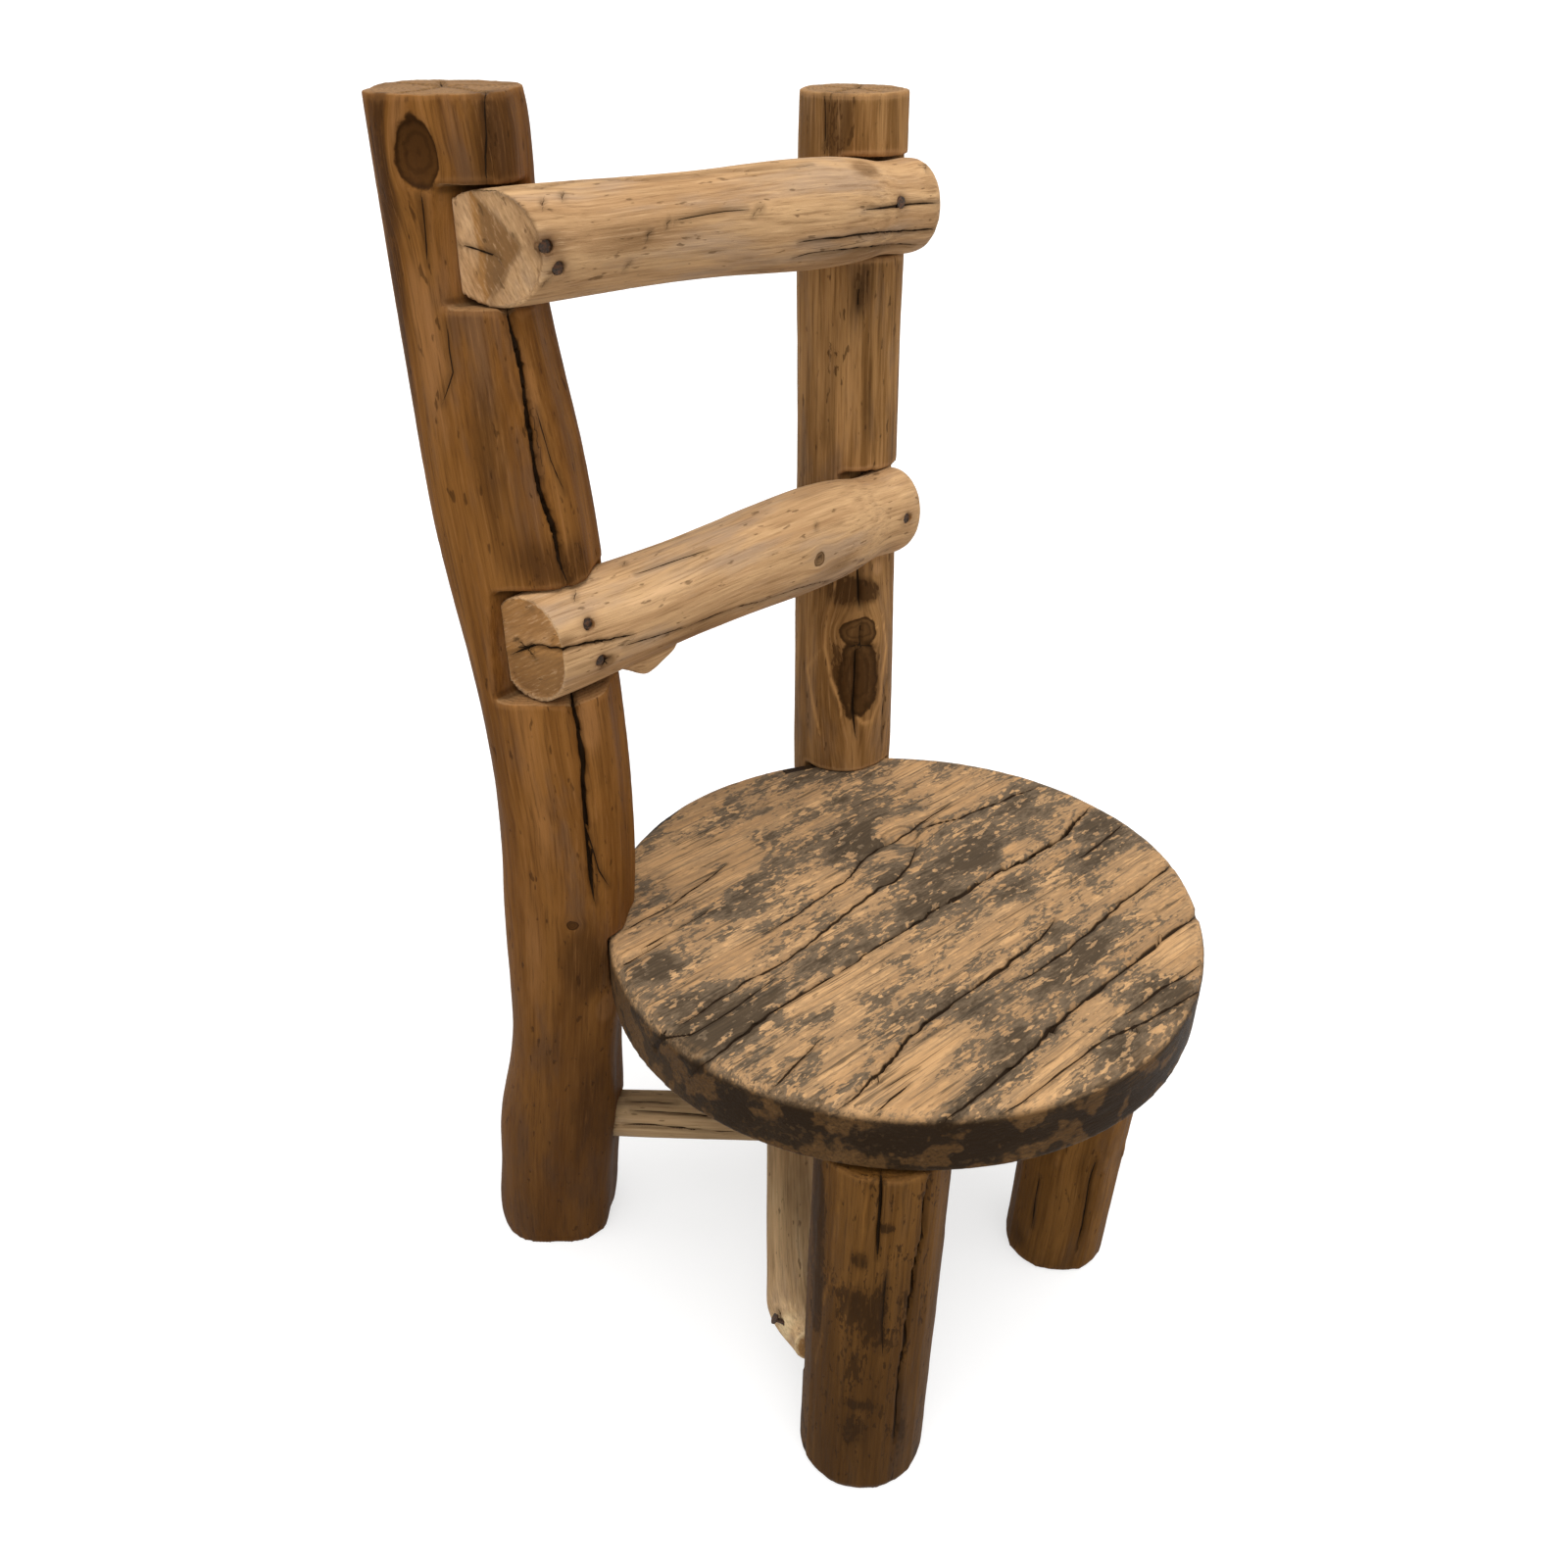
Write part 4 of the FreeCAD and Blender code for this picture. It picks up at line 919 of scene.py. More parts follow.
def even_copy(node, grid):
    """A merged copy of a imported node, remade on an even grid."""
    shape = merged_shape(node)
    mesh = bpy.data.meshes.new(node + "_wood")
    shape.to_mesh(mesh)
    shape.free()
    piece = new_piece(node + "_wood", mesh)
    remesh = piece.modifiers.new("even_grid", "REMESH")
    remesh.mode = "VOXEL"
    remesh.voxel_size = grid
    remesh.use_smooth_shade = True
    settle(piece)
    return piece


def separate_bodies(node):
    """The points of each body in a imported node, sorted."""
    shape = merged_shape(node)
    left = set(shape.verts)
    bodies = []
    while left:
        body = {left.pop()}
        open_verts = list(body)
        while open_verts:
            vert = open_verts.pop()
            linked = {edge.other_vert(vert) for edge in vert.link_edges} - body
            body |= linked
            open_verts.extend(linked)
        left -= body
        bodies.append(np.array(sorted(tuple(vert.co) for vert in body)))
    shape.free()
    return bodies


def nail_points(node):
    """Head centre, outward aim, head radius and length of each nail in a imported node."""
    found = []
    for points in separate_bodies(node):
        centre = points.mean(0)
        axis = np.linalg.eigh((points - centre).T @ (points - centre))[1][:, -1]
        level = (points - centre) @ axis
        middle = (points - centre) - np.outer(level, axis)
        radius = np.linalg.norm(middle - np.median(middle, axis=0), axis=1)
        if level[np.argmax(radius)] < 0:
            axis, level = -axis, -level
        found.append((centre + axis * level.max(), axis, radius.max(), np.ptp(level)))
    return found


def pixel_ray(pixel):
    """The direction from the camera through a pixel of the photograph."""
    across = (pixel[0] - PHOTO_SIZE / 2) / FOCAL_PIXELS
    up = (PHOTO_SIZE / 2 - pixel[1]) / FOCAL_PIXELS
    return (CAMERA_MATRIX @ Vector((across, up, -1))).normalized()


def read_vectors(collection, name, count):
    values = np.empty(count * 3)
    collection.foreach_get(name, values)
    return values.reshape(-1, 3)


def path_reach(points):
    """How far along a path each of its points is."""
    return np.concatenate([[0], np.cumsum(np.linalg.norm(np.diff(points, axis=0), axis=1))])


class Timber:
    """A wooden piece while its grain, cracks, knots and stains are worked out."""

    def __init__(self, node, grid, seed):
        self.node = node
        self.grid = grid
        self.seed = seed
        self.chance = np.random.default_rng(seed)
        self.piece = even_copy(node, grid)
        self.crack_lean = 0.0
        self.read_mesh()
        edges = np.empty(len(self.piece.data.edges) * 2, int)
        self.piece.data.edges.foreach_get("vertices", edges)
        self.edges = edges.reshape(-1, 2).T
        count = len(self.points)
        self.cracks = []
        self.seams = []
        self.knot = np.full(count, -1.0)
        self.stain = np.zeros(count)
        self.sink = np.zeros(count)
        self.rust = np.zeros(count)
        self.rubbed = np.ones(count)
        self.lay_log_grain()

    def read_mesh(self):
        """Reads the mesh's points and normals, and its surface for rays to fall on."""
        mesh = self.piece.data
        count = len(mesh.vertices)
        self.points = read_vectors(mesh.vertices, "co", count)
        self.normals = read_vectors(mesh.vertices, "normal", count)
        faces = [face.vertices[:] for face in mesh.polygons]
        self.surface = BVHTree.FromPolygons(self.points.tolist(), faces)

    def move_mesh(self):
        """Moves the mesh to the points that were worked out."""
        self.piece.data.vertices.foreach_set("co", self.points.ravel())
        self.piece.data.update()
        self.read_mesh()

    def close_grooves(self, cracks):
        """Draws the skin flat over the solid's own grooves, so that finer cracks can be opened there."""
        lines = []
        for half_width, depth, path in cracks:
            self.add_line(lines, self.trace_pixels(path), half_width, depth)
        held = self.line_field(lines)[1] > GROOVE_REACH
        for _ in range(GROOVE_ROUNDS):
            self.points = np.where(held[:, None], self.points, self.smoothed(self.points, 1))
        self.move_mesh()

    def soften(self, spread):
        """Rounds a log's lengthwise edges over a spread of turn, but for the rows with a step in them."""
        flat, level = self.grain[:, :2], self.grain[:, 2]
        reach = np.linalg.norm(flat, axis=1)
        row = (level - level.min()) / np.ptp(level) * (SOFT_ROWS - 1)
        column = np.arctan2(flat[:, 1], flat[:, 0]) / math.tau % 1 * SOFT_TURNS
        side = self.end < 0.5
        cell = np.rint(row).astype(int) * SOFT_TURNS + np.rint(column).astype(int) % SOFT_TURNS
        found = np.zeros(SOFT_ROWS * SOFT_TURNS)
        np.maximum.at(found, cell[side], reach[side])
        found = np.where(found > 0, found, reach[side].mean()).reshape(SOFT_ROWS, SOFT_TURNS)
        waves = np.fft.rfftfreq(SOFT_TURNS, 1 / SOFT_TURNS)
        rounded = np.fft.irfft(np.fft.rfft(found) * np.exp(-0.5 * (waves * spread) ** 2), SOFT_TURNS)
        even = np.ptp(found, axis=1) < SOFT_LIMIT * found.mean(1)
        share = np.where(even[:, None], rounded / found - 1, 0)
        above, before = np.minimum(row.astype(int), SOFT_ROWS - 2), column.astype(int)
        down, past = row - above, column - before
        first, second = before % SOFT_TURNS, (before + 1) % SOFT_TURNS
        upper = share[above, first] * (1 - past) + share[above, second] * past
        lower = share[above + 1, first] * (1 - past) + share[above + 1, second] * past
        self.points += (upper * (1 - down) + lower * down)[:, None] * (flat @ self.across)
        self.move_mesh()

    def lay_log_grain(self):
        """Grain coordinates: two across the log from its bowed middle line, and one along it."""
        centred = self.points - self.points.mean(0)
        along = np.linalg.eigh(centred.T @ centred)[1][:, -1]
        self.along = along * np.sign(along[np.argmax(np.abs(along))])
        first = np.cross(self.along, np.eye(3)[np.argmin(np.abs(self.along))])
        first /= np.linalg.norm(first)
        self.across = np.array((first, np.cross(self.along, first)))
        length = centred @ self.along
        bounds = np.linspace(length.min(), length.max(), GRAIN_STATIONS + 1)
        which = np.clip(np.digitize(length, bounds) - 1, 0, GRAIN_STATIONS - 1)
        counts = np.maximum(np.bincount(which, minlength=GRAIN_STATIONS), 1)
        columns = []
        for axis in self.across:
            offset = centred @ axis
            middle = np.bincount(which, offset, GRAIN_STATIONS) / counts
            middle = np.pad(middle, GRAIN_MEAN // 2, "edge")
            middle = np.convolve(middle, np.full(GRAIN_MEAN, 1 / GRAIN_MEAN), "valid")
            columns.append(offset - np.interp(length, (bounds[1:] + bounds[:-1]) / 2, middle))
        self.grain = np.stack([*columns, length], 1)
        self.end = np.abs(self.normals @ self.along)

    def lay_slab_grain(self, pith):
        """Grain coordinates of a slab sawn along X, with its pith below it."""
        self.along = np.array((1.0, 0.0, 0.0))
        self.grain = (self.points - np.array(pith))[:, (1, 2, 0)]
        self.end = np.abs(self.normals @ self.along)

    def under_pixel(self, pixel):
        """The vertex nearest to what a photo pixel shows of this piece, or None."""
        place = self.surface.ray_cast(CAMERA_PLACE, pixel_ray(pixel))[0]
        if place is None:
            return None
        return int(np.argmin(((self.points - np.array(place)) ** 2).sum(1)))

    def trace_pixels(self, path):
        """Points and normals where a path of photo pixels, a little unsteady, falls on the piece."""
        path = np.array(path, float)
        reach = path_reach(path)
        steps = np.linspace(0, reach[-1], max(int(reach[-1] / PIXEL_STEP), 3))
        spots = np.linspace(0, reach[-1], max(len(steps) // PIXEL_SWAY_STEPS, 3))
        sway = np.interp(steps, spots, self.chance.normal(0, PIXEL_WANDER, len(spots)))
        columns = np.interp(steps, reach, path[:, 0]) + sway
        rows = np.interp(steps, reach, path[:, 1]) + sway
        casts = [self.surface.ray_cast(CAMERA_PLACE, pixel_ray(pixel)) for pixel in zip(columns, rows)]
        return [cast[:2] for cast in casts if cast[0] is not None]

    def trace_grain(self, start, reach):
        """Points and normals along the grain from a vertex, drifting a little."""
        along = Vector(self.along)
        place = Vector(self.points[start])
        drift = self.chance.normal(0, DRIFT_START)
        found = []
        for _ in range(max(int(reach / MARCH_STEP), 3)):
            place, normal, _, _ = self.surface.find_nearest(place)
            forward = along - normal * along.dot(normal)
            if forward.length < MARCH_SLANT:
                break
            found.append((place, normal))
            drift = DRIFT_KEPT * drift + self.chance.normal(0, DRIFT_NEW)
            forward.normalize()
            place = place + (forward + normal.cross(forward) * drift) * MARCH_STEP
        return found

    def add_line(self, lines, traced, half_width, depth):
        """Adds a line with an uneven width that runs out at both ends."""
        if len(traced) < 3:
            return
        points = np.array([place for place, _ in traced])
        normals = np.array([normal for _, normal in traced])
        reach = path_reach(points)
        even = np.linspace(0, reach[-1], max(int(reach[-1] / LINE_STEP), 5))
        points = np.stack([np.interp(even, reach, points[:, axis]) for axis in range(3)], 1)
        normals = np.stack([np.interp(even, reach, normals[:, axis]) for axis in range(3)], 1)
        tangents = np.gradient(points, axis=0)
        tangents /= np.linalg.norm(tangents, axis=1)[:, None] + 1e-12
        share = even / even[-1]
        ends = np.sqrt(np.clip(np.minimum(share, 1 - share) * LINE_TAPER, LINE_TIP, 1))
        spots = max(len(even) // LINE_WIDTH_STEPS, 3)
        uneven = np.interp(share, np.linspace(0, 1, spots), self.chance.uniform(*LINE_WIDTH_RANGE, spots))
        lines.append((points, tangents, normals, half_width * MM * ends * uneven, depth * MM * ends))

    def add_photo_cracks(self, cracks):
        for half_width, depth, path in cracks:
            self.add_line(self.cracks, self.trace_pixels(path), half_width, depth)

    def add_seams(self, seams):
        for half_width, path in seams:
            self.add_line(self.seams, self.trace_pixels(path), half_width, 0)

    def add_grain_cracks(self, count, reach, half_width, depth):
        """Scatters cracks along the grain over the sides that the photograph does not show."""
        toward = np.array(CAMERA_PLACE) - self.points
        hidden = np.flatnonzero((self.normals * toward).sum(1) < 0)
        for _ in range(count):
            start = hidden[self.chance.integers(len(hidden))]
            length = reach * self.chance.uniform(*CRACK_LENGTH_RANGE)
            width = half_width * self.chance.uniform(*CRACK_WIDTH_RANGE)
            if abs(self.normals[start] @ self.along) < CRACK_MOST_END:
                self.add_line(self.cracks, self.trace_grain(start, length), width, depth)

    def add_end_checks(self, count, half_width, depth):
        """Drying checks that run out from the heart on both sawn ends."""
        facing = np.abs(self.normals @ self.along) > CHECK_LEAST_END
        for sign in (-1, 1):
            level = sign * self.grain[:, 2]
            end = self.points[facing & (level > level.max() - CHECK_LEVEL)]
            if len(end) < CHECK_LEAST_POINTS:
                continue
            heart = end.mean(0)
            reach = np.linalg.norm(end - heart, axis=1).max()
            side = np.cross(self.along, np.eye(3)[np.argmin(np.abs(self.along))])
            turns = self.chance.uniform(0, math.tau / count) + np.arange(count) * math.tau / count
            for turn in turns + self.chance.normal(0, CHECK_WANDER, count):
                ray = side * math.cos(turn) + np.cross(self.along, side) * math.sin(turn)
                stop = self.chance.uniform(*CHECK_REACH_RANGE)
                spans = np.linspace(CHECK_START, stop, CHECK_STEPS) * reach
                traced = [self.surface.find_nearest(Vector(heart + ray * span))[:2] for span in spans]
                self.add_line(self.cracks, traced, half_width, depth)

    def offset_from(self, pixel):
        """Grain coordinates measured from what a photo pixel shows, or None."""
        vertex = self.under_pixel(pixel)
        return None if vertex is None else self.grain - self.grain[vertex]

    def add_stains(self, stains):
        """Darkens the wood, or wears it pale, in soft spots that lie along the grain. Some spots are
        painted shade or painted light.
        """
        for pixel, half_length, half_width, strength in stains:
            offset = self.offset_from(pixel)
            if offset is not None:
                sizes = np.array((half_width, half_width, half_length)) * MM
                self.stain += strength * np.exp(-((offset / sizes) ** 2).sum(1))

    def add_knots(self, knots):
        """Marks knots, sinks them and bends the grain round them."""
        for pixel, radius, stretch, dent in knots:
            offset = self.offset_from(pixel)
            if offset is None:
                continue
            reach = np.sqrt(((offset / np.array((1, 1, stretch))) ** 2).sum(1)) / (radius * MM)
            turn = np.arctan2(offset[:, 2] / stretch, offset[:, 0] + offset[:, 1])
            starts = self.chance.uniform(0, math.tau, len(KNOT_WAVES))
            waved = [
                high * np.sin(count * turn + start)
                for (count, high), start in zip(KNOT_WAVES, starts)]
            reach *= 1 + sum(waved)
            self.knot = np.maximum(self.knot, 1 - reach)
            self.sink += dent * MM * np.clip((KNOT_DENT_EDGE - reach) / KNOT_DENT_SLOPE, 0, 1)
            bend = KNOT_BEND * np.exp(-(reach / KNOT_BEND_REACH) ** 2)
            self.grain[:, :2] -= offset[:, :2] * bend[:, None]

    def add_rust(self, node):
        """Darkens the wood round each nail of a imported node."""
        for place, _, radius, _ in nail_points(node):
            spread = np.exp(-((self.points - place) ** 2).sum(1) / (RUST_SPREAD * radius) ** 2)
            self.rust = np.maximum(self.rust, spread)

    def beside(self, low, high):
        """How far each vertex is to the right of a line on one end, and above its low pixel."""
        low, high = (self.points[self.under_pixel(pixel)] for pixel in (low, high))
        across = np.cross(self.along, high - low)
        across /= np.linalg.norm(across)
        return (self.points - low) @ across, (self.points - low) @ np.cross(self.along, across)

    def add_hewn_end(self, ridge, bevels, slope, first_stain, second_stain):
        """Cuts one end to two facets that meet in a ridge, the first painted lighter and the second darker,
        partly stain and partly painted light and shade. The second runs out at its bevels.
        """
        offset, rise = self.beside(*ridge)
        level = (self.points - self.points[self.under_pixel(ridge[0])]) @ self.along
        close = np.exp(-(level / HEWN_EDGE_REACH) ** 2)
        face = np.interp(self.end, HEWN_FACING, (0, 1)) * np.exp(-(level / HEWN_REACH) ** 2)
        self.sink += slope * face * np.maximum(offset, 0)
        self.rubbed *= 1 - HEWN_DULLED * close
        stain = np.interp(offset, (-RIDGE_BLUR, RIDGE_BLUR), (first_stain, second_stain))
        for bevel in bevels:
            plain = np.interp(self.beside(*bevel)[0], (-BEVEL_BLUR, BEVEL_BLUR), (0, 1))
            stain *= 1 - plain
            self.end *= 1 - plain * face
            self.rubbed *= 1 - plain * close
        self.stain += face * stain
        hewn = np.stack([offset - HEWN_LEAN * rise, level, rise + HEWN_LEAN * offset], 1)
        self.grain = np.where(face[:, None] > 0.5, hewn, self.grain)

    def add_pits(self, pits):
        """Small holes: sunk, and drawn as the shortest of cracks."""
        for pixel, radius, depth in pits:
            vertex = self.under_pixel(pixel)
            if vertex is None:
                continue
            reach = np.linalg.norm(self.points - self.points[vertex], axis=1) / (radius * MM)
            self.sink += depth * MM * np.clip(PIT_EDGE - reach, 0, 1)
            place, normal = Vector(self.points[vertex]), Vector(self.normals[vertex])
            reach = normal.orthogonal().normalized() * radius * MM
            traced = [(place + reach * share, normal) for share in (-0.5, 0, 0.5)]
            self.add_line(self.cracks, traced, radius, 0)

    def add_marks(self, cracks=(), seams=(), knots=(), pits=(), stains=()):
        """Adds the marks that the photograph shows on this piece."""
        self.add_photo_cracks(cracks)
        self.add_seams(seams)
        self.add_knots(knots)
        self.add_pits(pits)
        self.add_stains(stains)

    def leaned(self, places):
        """Places slid up along the lean of the cracks to the top of the piece, where its cracks lean."""
        if not self.crack_lean:
            return places
        drop = self.points[:, 2].max() - places[:, 2]
        slide = np.where(drop < CRACK_RUNOUT, drop, 0)
        return places + slide[:, None] * np.array((0, -self.crack_lean, 1))

    def line_field(self, lines):
        """Each vertex's side of the nearest line, its distance from it, and the line's width and depth."""
        points, tangents, normals, widths, depths = (np.concatenate(column) for column in zip(*lines))
        points = self.leaned(points)
        tree = KDTree(len(points))
        for index, point in enumerate(points):
            tree.insert(point, index)
        tree.balance()
        places = self.leaned(self.points)
        nearest = np.array([tree.find(place)[1] for place in places])
        offset = places - points[nearest]
        run = (offset * tangents[nearest]).sum(1)
        side = (offset * np.cross(tangents, normals)[nearest]).sum(1)
        beyond = np.maximum(np.abs(run) - LINE_STEP, 0)
        near = np.sqrt(np.maximum((offset ** 2).sum(1) - run ** 2, 0) + beyond ** 2)
        side = np.copysign(np.hypot(side, beyond), side)
        return side, near, widths[nearest], depths[nearest]

    def smoothed(self, values, rounds):
        """Vectors averaged with their neighbours over and over."""
        first, second = self.edges
        count = len(values)
        degree = np.bincount(first, minlength=count) + np.bincount(second, minlength=count)
        values = values.copy()
        for _ in range(rounds):
            around = np.stack([
                np.bincount(first, column[second], count) + np.bincount(second, column[first], count)
                for column in values.T], 1)
            values += SMOOTH_SHARE * (around / degree[:, None] - values)
        return values

    def store(self, name, kind, values):
        attribute = self.piece.data.attributes.new(name, kind, "POINT")
        field = "vector" if kind == "FLOAT_VECTOR" else "value"
        attribute.data.foreach_set(field, np.ascontiguousarray(values, np.float32).ravel())

    def finish(self, material, slot, lump_share=1.0):
        """Writes the worked-out fields, weathers the surface and lets the piece stand for its node."""
        sizes = bpy.context.scene.log_chair_sizes
        side, near, width, depth = self.line_field(self.cracks)
        outward = self.smoothed(self.normals, SHAPE_ROUNDS)
        outward /= np.linalg.norm(outward, axis=1)[:, None] + 1e-9
        proud = ((self.points - self.smoothed(self.points, SHAPE_ROUNDS)) * outward).sum(1)
        mouth = np.maximum(width, MOUTH_SHARE * self.grid)
        groove = depth * np.clip(1 - (near / mouth) ** 2, 0, 1)
        self.sink += np.maximum(groove + np.minimum(proud, 0), 0)
        seam = np.zeros(len(self.points))
        if self.seams:
            _, seam_near, seam_width, _ = self.line_field(self.seams)
            seam = np.exp(-(seam_near / np.maximum(seam_width, SEAM_MIN)) ** 2)
        edge = np.clip(proud / (EDGE_SHARE * self.grid), -FIELD_LIMIT, FIELD_LIMIT)
        self.store("grain", "FLOAT_VECTOR", self.grain)
        self.store("sink", "FLOAT_VECTOR", outward * -self.sink[:, None])
        fields = {
            "crack_side": side / width, "crack_near": near, "seam": seam, "knot": self.knot,
            "stain": np.clip(self.stain, -FIELD_LIMIT, FIELD_LIMIT), "rust": self.rust,
            "edge": edge * (1 - self.rust) * self.rubbed, "end": self.end,
        }
        for name, values in fields.items():
            self.store(name, "FLOAT", values)
        run_tree(
            self.piece, "weathered_timber", Lump_Depth=sizes.lump_depth * lump_share,
            Ripple_Depth=sizes.ripple_depth, Seed=float(self.seed), Material=material)
        for vertex in self.piece.data.vertices:
            vertex.co.z = max(vertex.co.z, 0)
        hand_over(self.piece, self.node)


class LOGCHAIR_OT_posts(bpy.types.Operator):
    """Dress the two back posts"""

    bl_idname = "log_chair.posts"
    bl_label = "Back Posts"

    def execute(self, context):
        colours = context.scene.log_chair_colours
        grid = context.scene.log_chair_sizes.post_grid
        left_wood = timber_material(
            "post_wood", tones("post"), colours.post_end,
            seed=1.0, streak_scale=55.0, film_cover=-0.5, rubbed=0.22, ring_share=0.2)
        right_wood = timber_material(
            "streaked_post_wood", tones("streak"), colours.post_end,
            seed=6.0, streak_scale=80.0, film_cover=-0.4, rubbed=0.3, ring_share=0.2)
        left = Timber("left_back_post", grid, seed=11)
        left.close_grooves(LEFT_POST_CRACKS[:LEFT_POST_GROOVES])
        left.add_marks(cracks=LEFT_POST_CRACKS, knots=LEFT_POST_KNOTS, stains=LEFT_POST_STAINS)
        right = Timber("right_back_post", grid, seed=12)
        right.add_marks(
            cracks=RIGHT_POST_CRACKS, seams=RIGHT_POST_SEAMS, knots=RIGHT_POST_KNOTS,
            stains=RIGHT_POST_STAINS)
        for post, material in ((left, left_wood), (right, right_wood)):
            post.add_grain_cracks(count=26, reach=0.09, half_width=0.4, depth=1.2)
            post.add_grain_cracks(count=5, reach=0.22, half_width=0.9, depth=5)
            post.add_end_checks(count=5, half_width=0.6, depth=3)
            post.finish(material, "post_wood")
        return {"FINISHED"}


class LOGCHAIR_OT_rails(bpy.types.Operator):
    """Dress the two back rails"""

    bl_idname = "log_chair.rails"
    bl_label = "Back Rails"

    def execute(self, context):
        grid = context.scene.log_chair_sizes.rail_grid
        material = timber_material(
            "rail_wood", tones("rail"), context.scene.log_chair_colours.rail_end,
            seed=2.0, streak_scale=75.0, film_cover=-0.7, rubbed=0.4, ring_share=0.12)
        upper = Timber("upper_rail", grid, seed=21)
        upper.add_marks(cracks=UPPER_RAIL_CRACKS, pits=UPPER_RAIL_PITS, stains=UPPER_RAIL_STAINS)
        # The first facet is painted lighter and the second darker: partly stain, partly painted light and
        # shade.
        upper.add_hewn_end(
            UPPER_RAIL_RIDGE, UPPER_RAIL_BEVELS, slope=0.15, first_stain=-0.7, second_stain=1.2)
        upper.add_rust("upper_rail_nails")
        lower = Timber("lower_rail", grid, seed=22)
        lower.add_marks(
            cracks=LOWER_RAIL_CRACKS, knots=LOWER_RAIL_KNOTS, pits=LOWER_RAIL_PITS,
            stains=LOWER_RAIL_STAINS)
        # The first facet is painted lighter and the second darker: partly stain, partly painted light and
        # shade.
        lower.add_hewn_end(LOWER_RAIL_RIDGE, (), slope=0.12, first_stain=-0.4, second_stain=0.4)
        lower.add_rust("lower_rail_nails")
        for rail in (upper, lower):
            rail.add_grain_cracks(count=30, reach=0.04, half_width=0.3, depth=0.6)
            rail.add_grain_cracks(count=3, reach=0.12, half_width=0.6, depth=3)
            rail.finish(material, "rail_wood", lump_share=0.8)
        return {"FINISHED"}


class LOGCHAIR_OT_seat(bpy.types.Operator):
    """Dress the seat slab"""

    bl_idname = "log_chair.seat"
    bl_label = "Seat Slab"

    def execute(self, context):
        seat = Timber("seat_slab", context.scene.log_chair_sizes.seat_grid, seed=31)
        low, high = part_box("seat_slab")
        middle = (low + high) / 2
        seat.crack_lean = SEAT_CRACK_LEAN
        seat.close_grooves(SEAT_CRACKS[:SEAT_GROOVES])
        seat.lay_slab_grain((middle.x, middle.y + SEAT_PITH_BACK, low.z - SEAT_PITH_DROP))
        seat.add_marks(cracks=SEAT_CRACKS, knots=SEAT_KNOTS, pits=SEAT_PITS, stains=SEAT_STAINS)
        seat.add_grain_cracks(count=130, reach=0.07, half_width=0.25, depth=0.6)
        seat.finish(seat_material(high.z), "seat_wood", lump_share=0.5)
        return {"FINISHED"}


class LOGCHAIR_OT_legs(bpy.types.Operator):
    """Dress the two front legs"""

    bl_idname = "log_chair.legs"
    bl_label = "Front Legs"

    def execute(self, context):
        end_tone = context.scene.log_chair_colours.leg_mid
        grid = context.scene.log_chair_sizes.leg_grid
        left_wood = timber_material(
            "leg_wood", tones("leg"), end_tone,
            seed=3.0, streak_scale=70.0, film_cover=-0.12, rubbed=0.2, ring_share=0.2)
        # The right leg's tones are painted lighter, as painted light for the shade that the seat casts on
        # it.
        painted_lighter_tones = [[channel * RIGHT_LEG_PAINTED_LIGHT for channel in tone] for tone in tones("leg")]
        right_wood = timber_material(
            "plain_leg_wood", painted_lighter_tones, end_tone,
            seed=7.0, streak_scale=60.0, film_cover=-0.45, rubbed=0.3, ring_share=0.2)
        left = Timber("front_left_leg", grid, seed=41)
        left.soften(LEG_SOFTNESS)
        left.add_marks(cracks=LEFT_LEG_CRACKS, seams=LEFT_LEG_SEAMS, stains=LEFT_LEG_STAINS)
        right = Timber("front_right_leg", grid, seed=42)
        right.soften(LEG_SOFTNESS)
        right.add_marks(cracks=RIGHT_LEG_CRACKS, stains=RIGHT_LEG_STAINS)
        for leg, material in ((left, left_wood), (right, right_wood)):
            leg.add_grain_cracks(count=30, reach=0.07, half_width=0.4, depth=1.2)
            leg.add_grain_cracks(count=4, reach=0.16, half_width=0.8, depth=4)
            leg.add_end_checks(count=5, half_width=0.5, depth=2)
            leg.finish(material, "leg_wood", lump_share=0.8)
        return {"FINISHED"}


class LOGCHAIR_OT_stretchers(bpy.types.Operator):
    """Dress the two crossing stretchers"""

    bl_idname = "log_chair.stretchers"
    bl_label = "Stretchers"

    def execute(self, context):
        end_tone = context.scene.log_chair_colours.rail_end
        grid = context.scene.log_chair_sizes.stretcher_grid
        # The right stretcher's copy of this wood takes less of the painted shade near the floor, so it is
        # drawn lighter.
        wood, less_shaded_wood = (
            timber_material(
                name, tones("stretcher"), end_tone, seed=5.0, streak_scale=90.0, film_cover=-0.7,
                rubbed=0.4, ring_share=0.1, painted_shade_share=painted_shade_share)
            for name, painted_shade_share in (("stretcher_wood", 0.6), ("pale_stretcher_wood", 0.2)))
        left = Timber("left_diagonal_stretcher", grid, seed=51)
        left.add_marks(cracks=LEFT_STRETCHER_CRACKS)
        right = Timber("right_diagonal_stretcher", grid, seed=52)
        right.add_marks(pits=RIGHT_STRETCHER_PITS, stains=RIGHT_STRETCHER_STAINS)
        for stretcher, material in ((left, wood), (right, less_shaded_wood)):
            stretcher.add_grain_cracks(count=30, reach=0.07, half_width=0.35, depth=0.8)
            stretcher.add_grain_cracks(count=6, reach=0.15, half_width=0.6, depth=2.5)
            stretcher.finish(material, "stretcher_wood", lump_share=0.6)
        return {"FINISHED"}


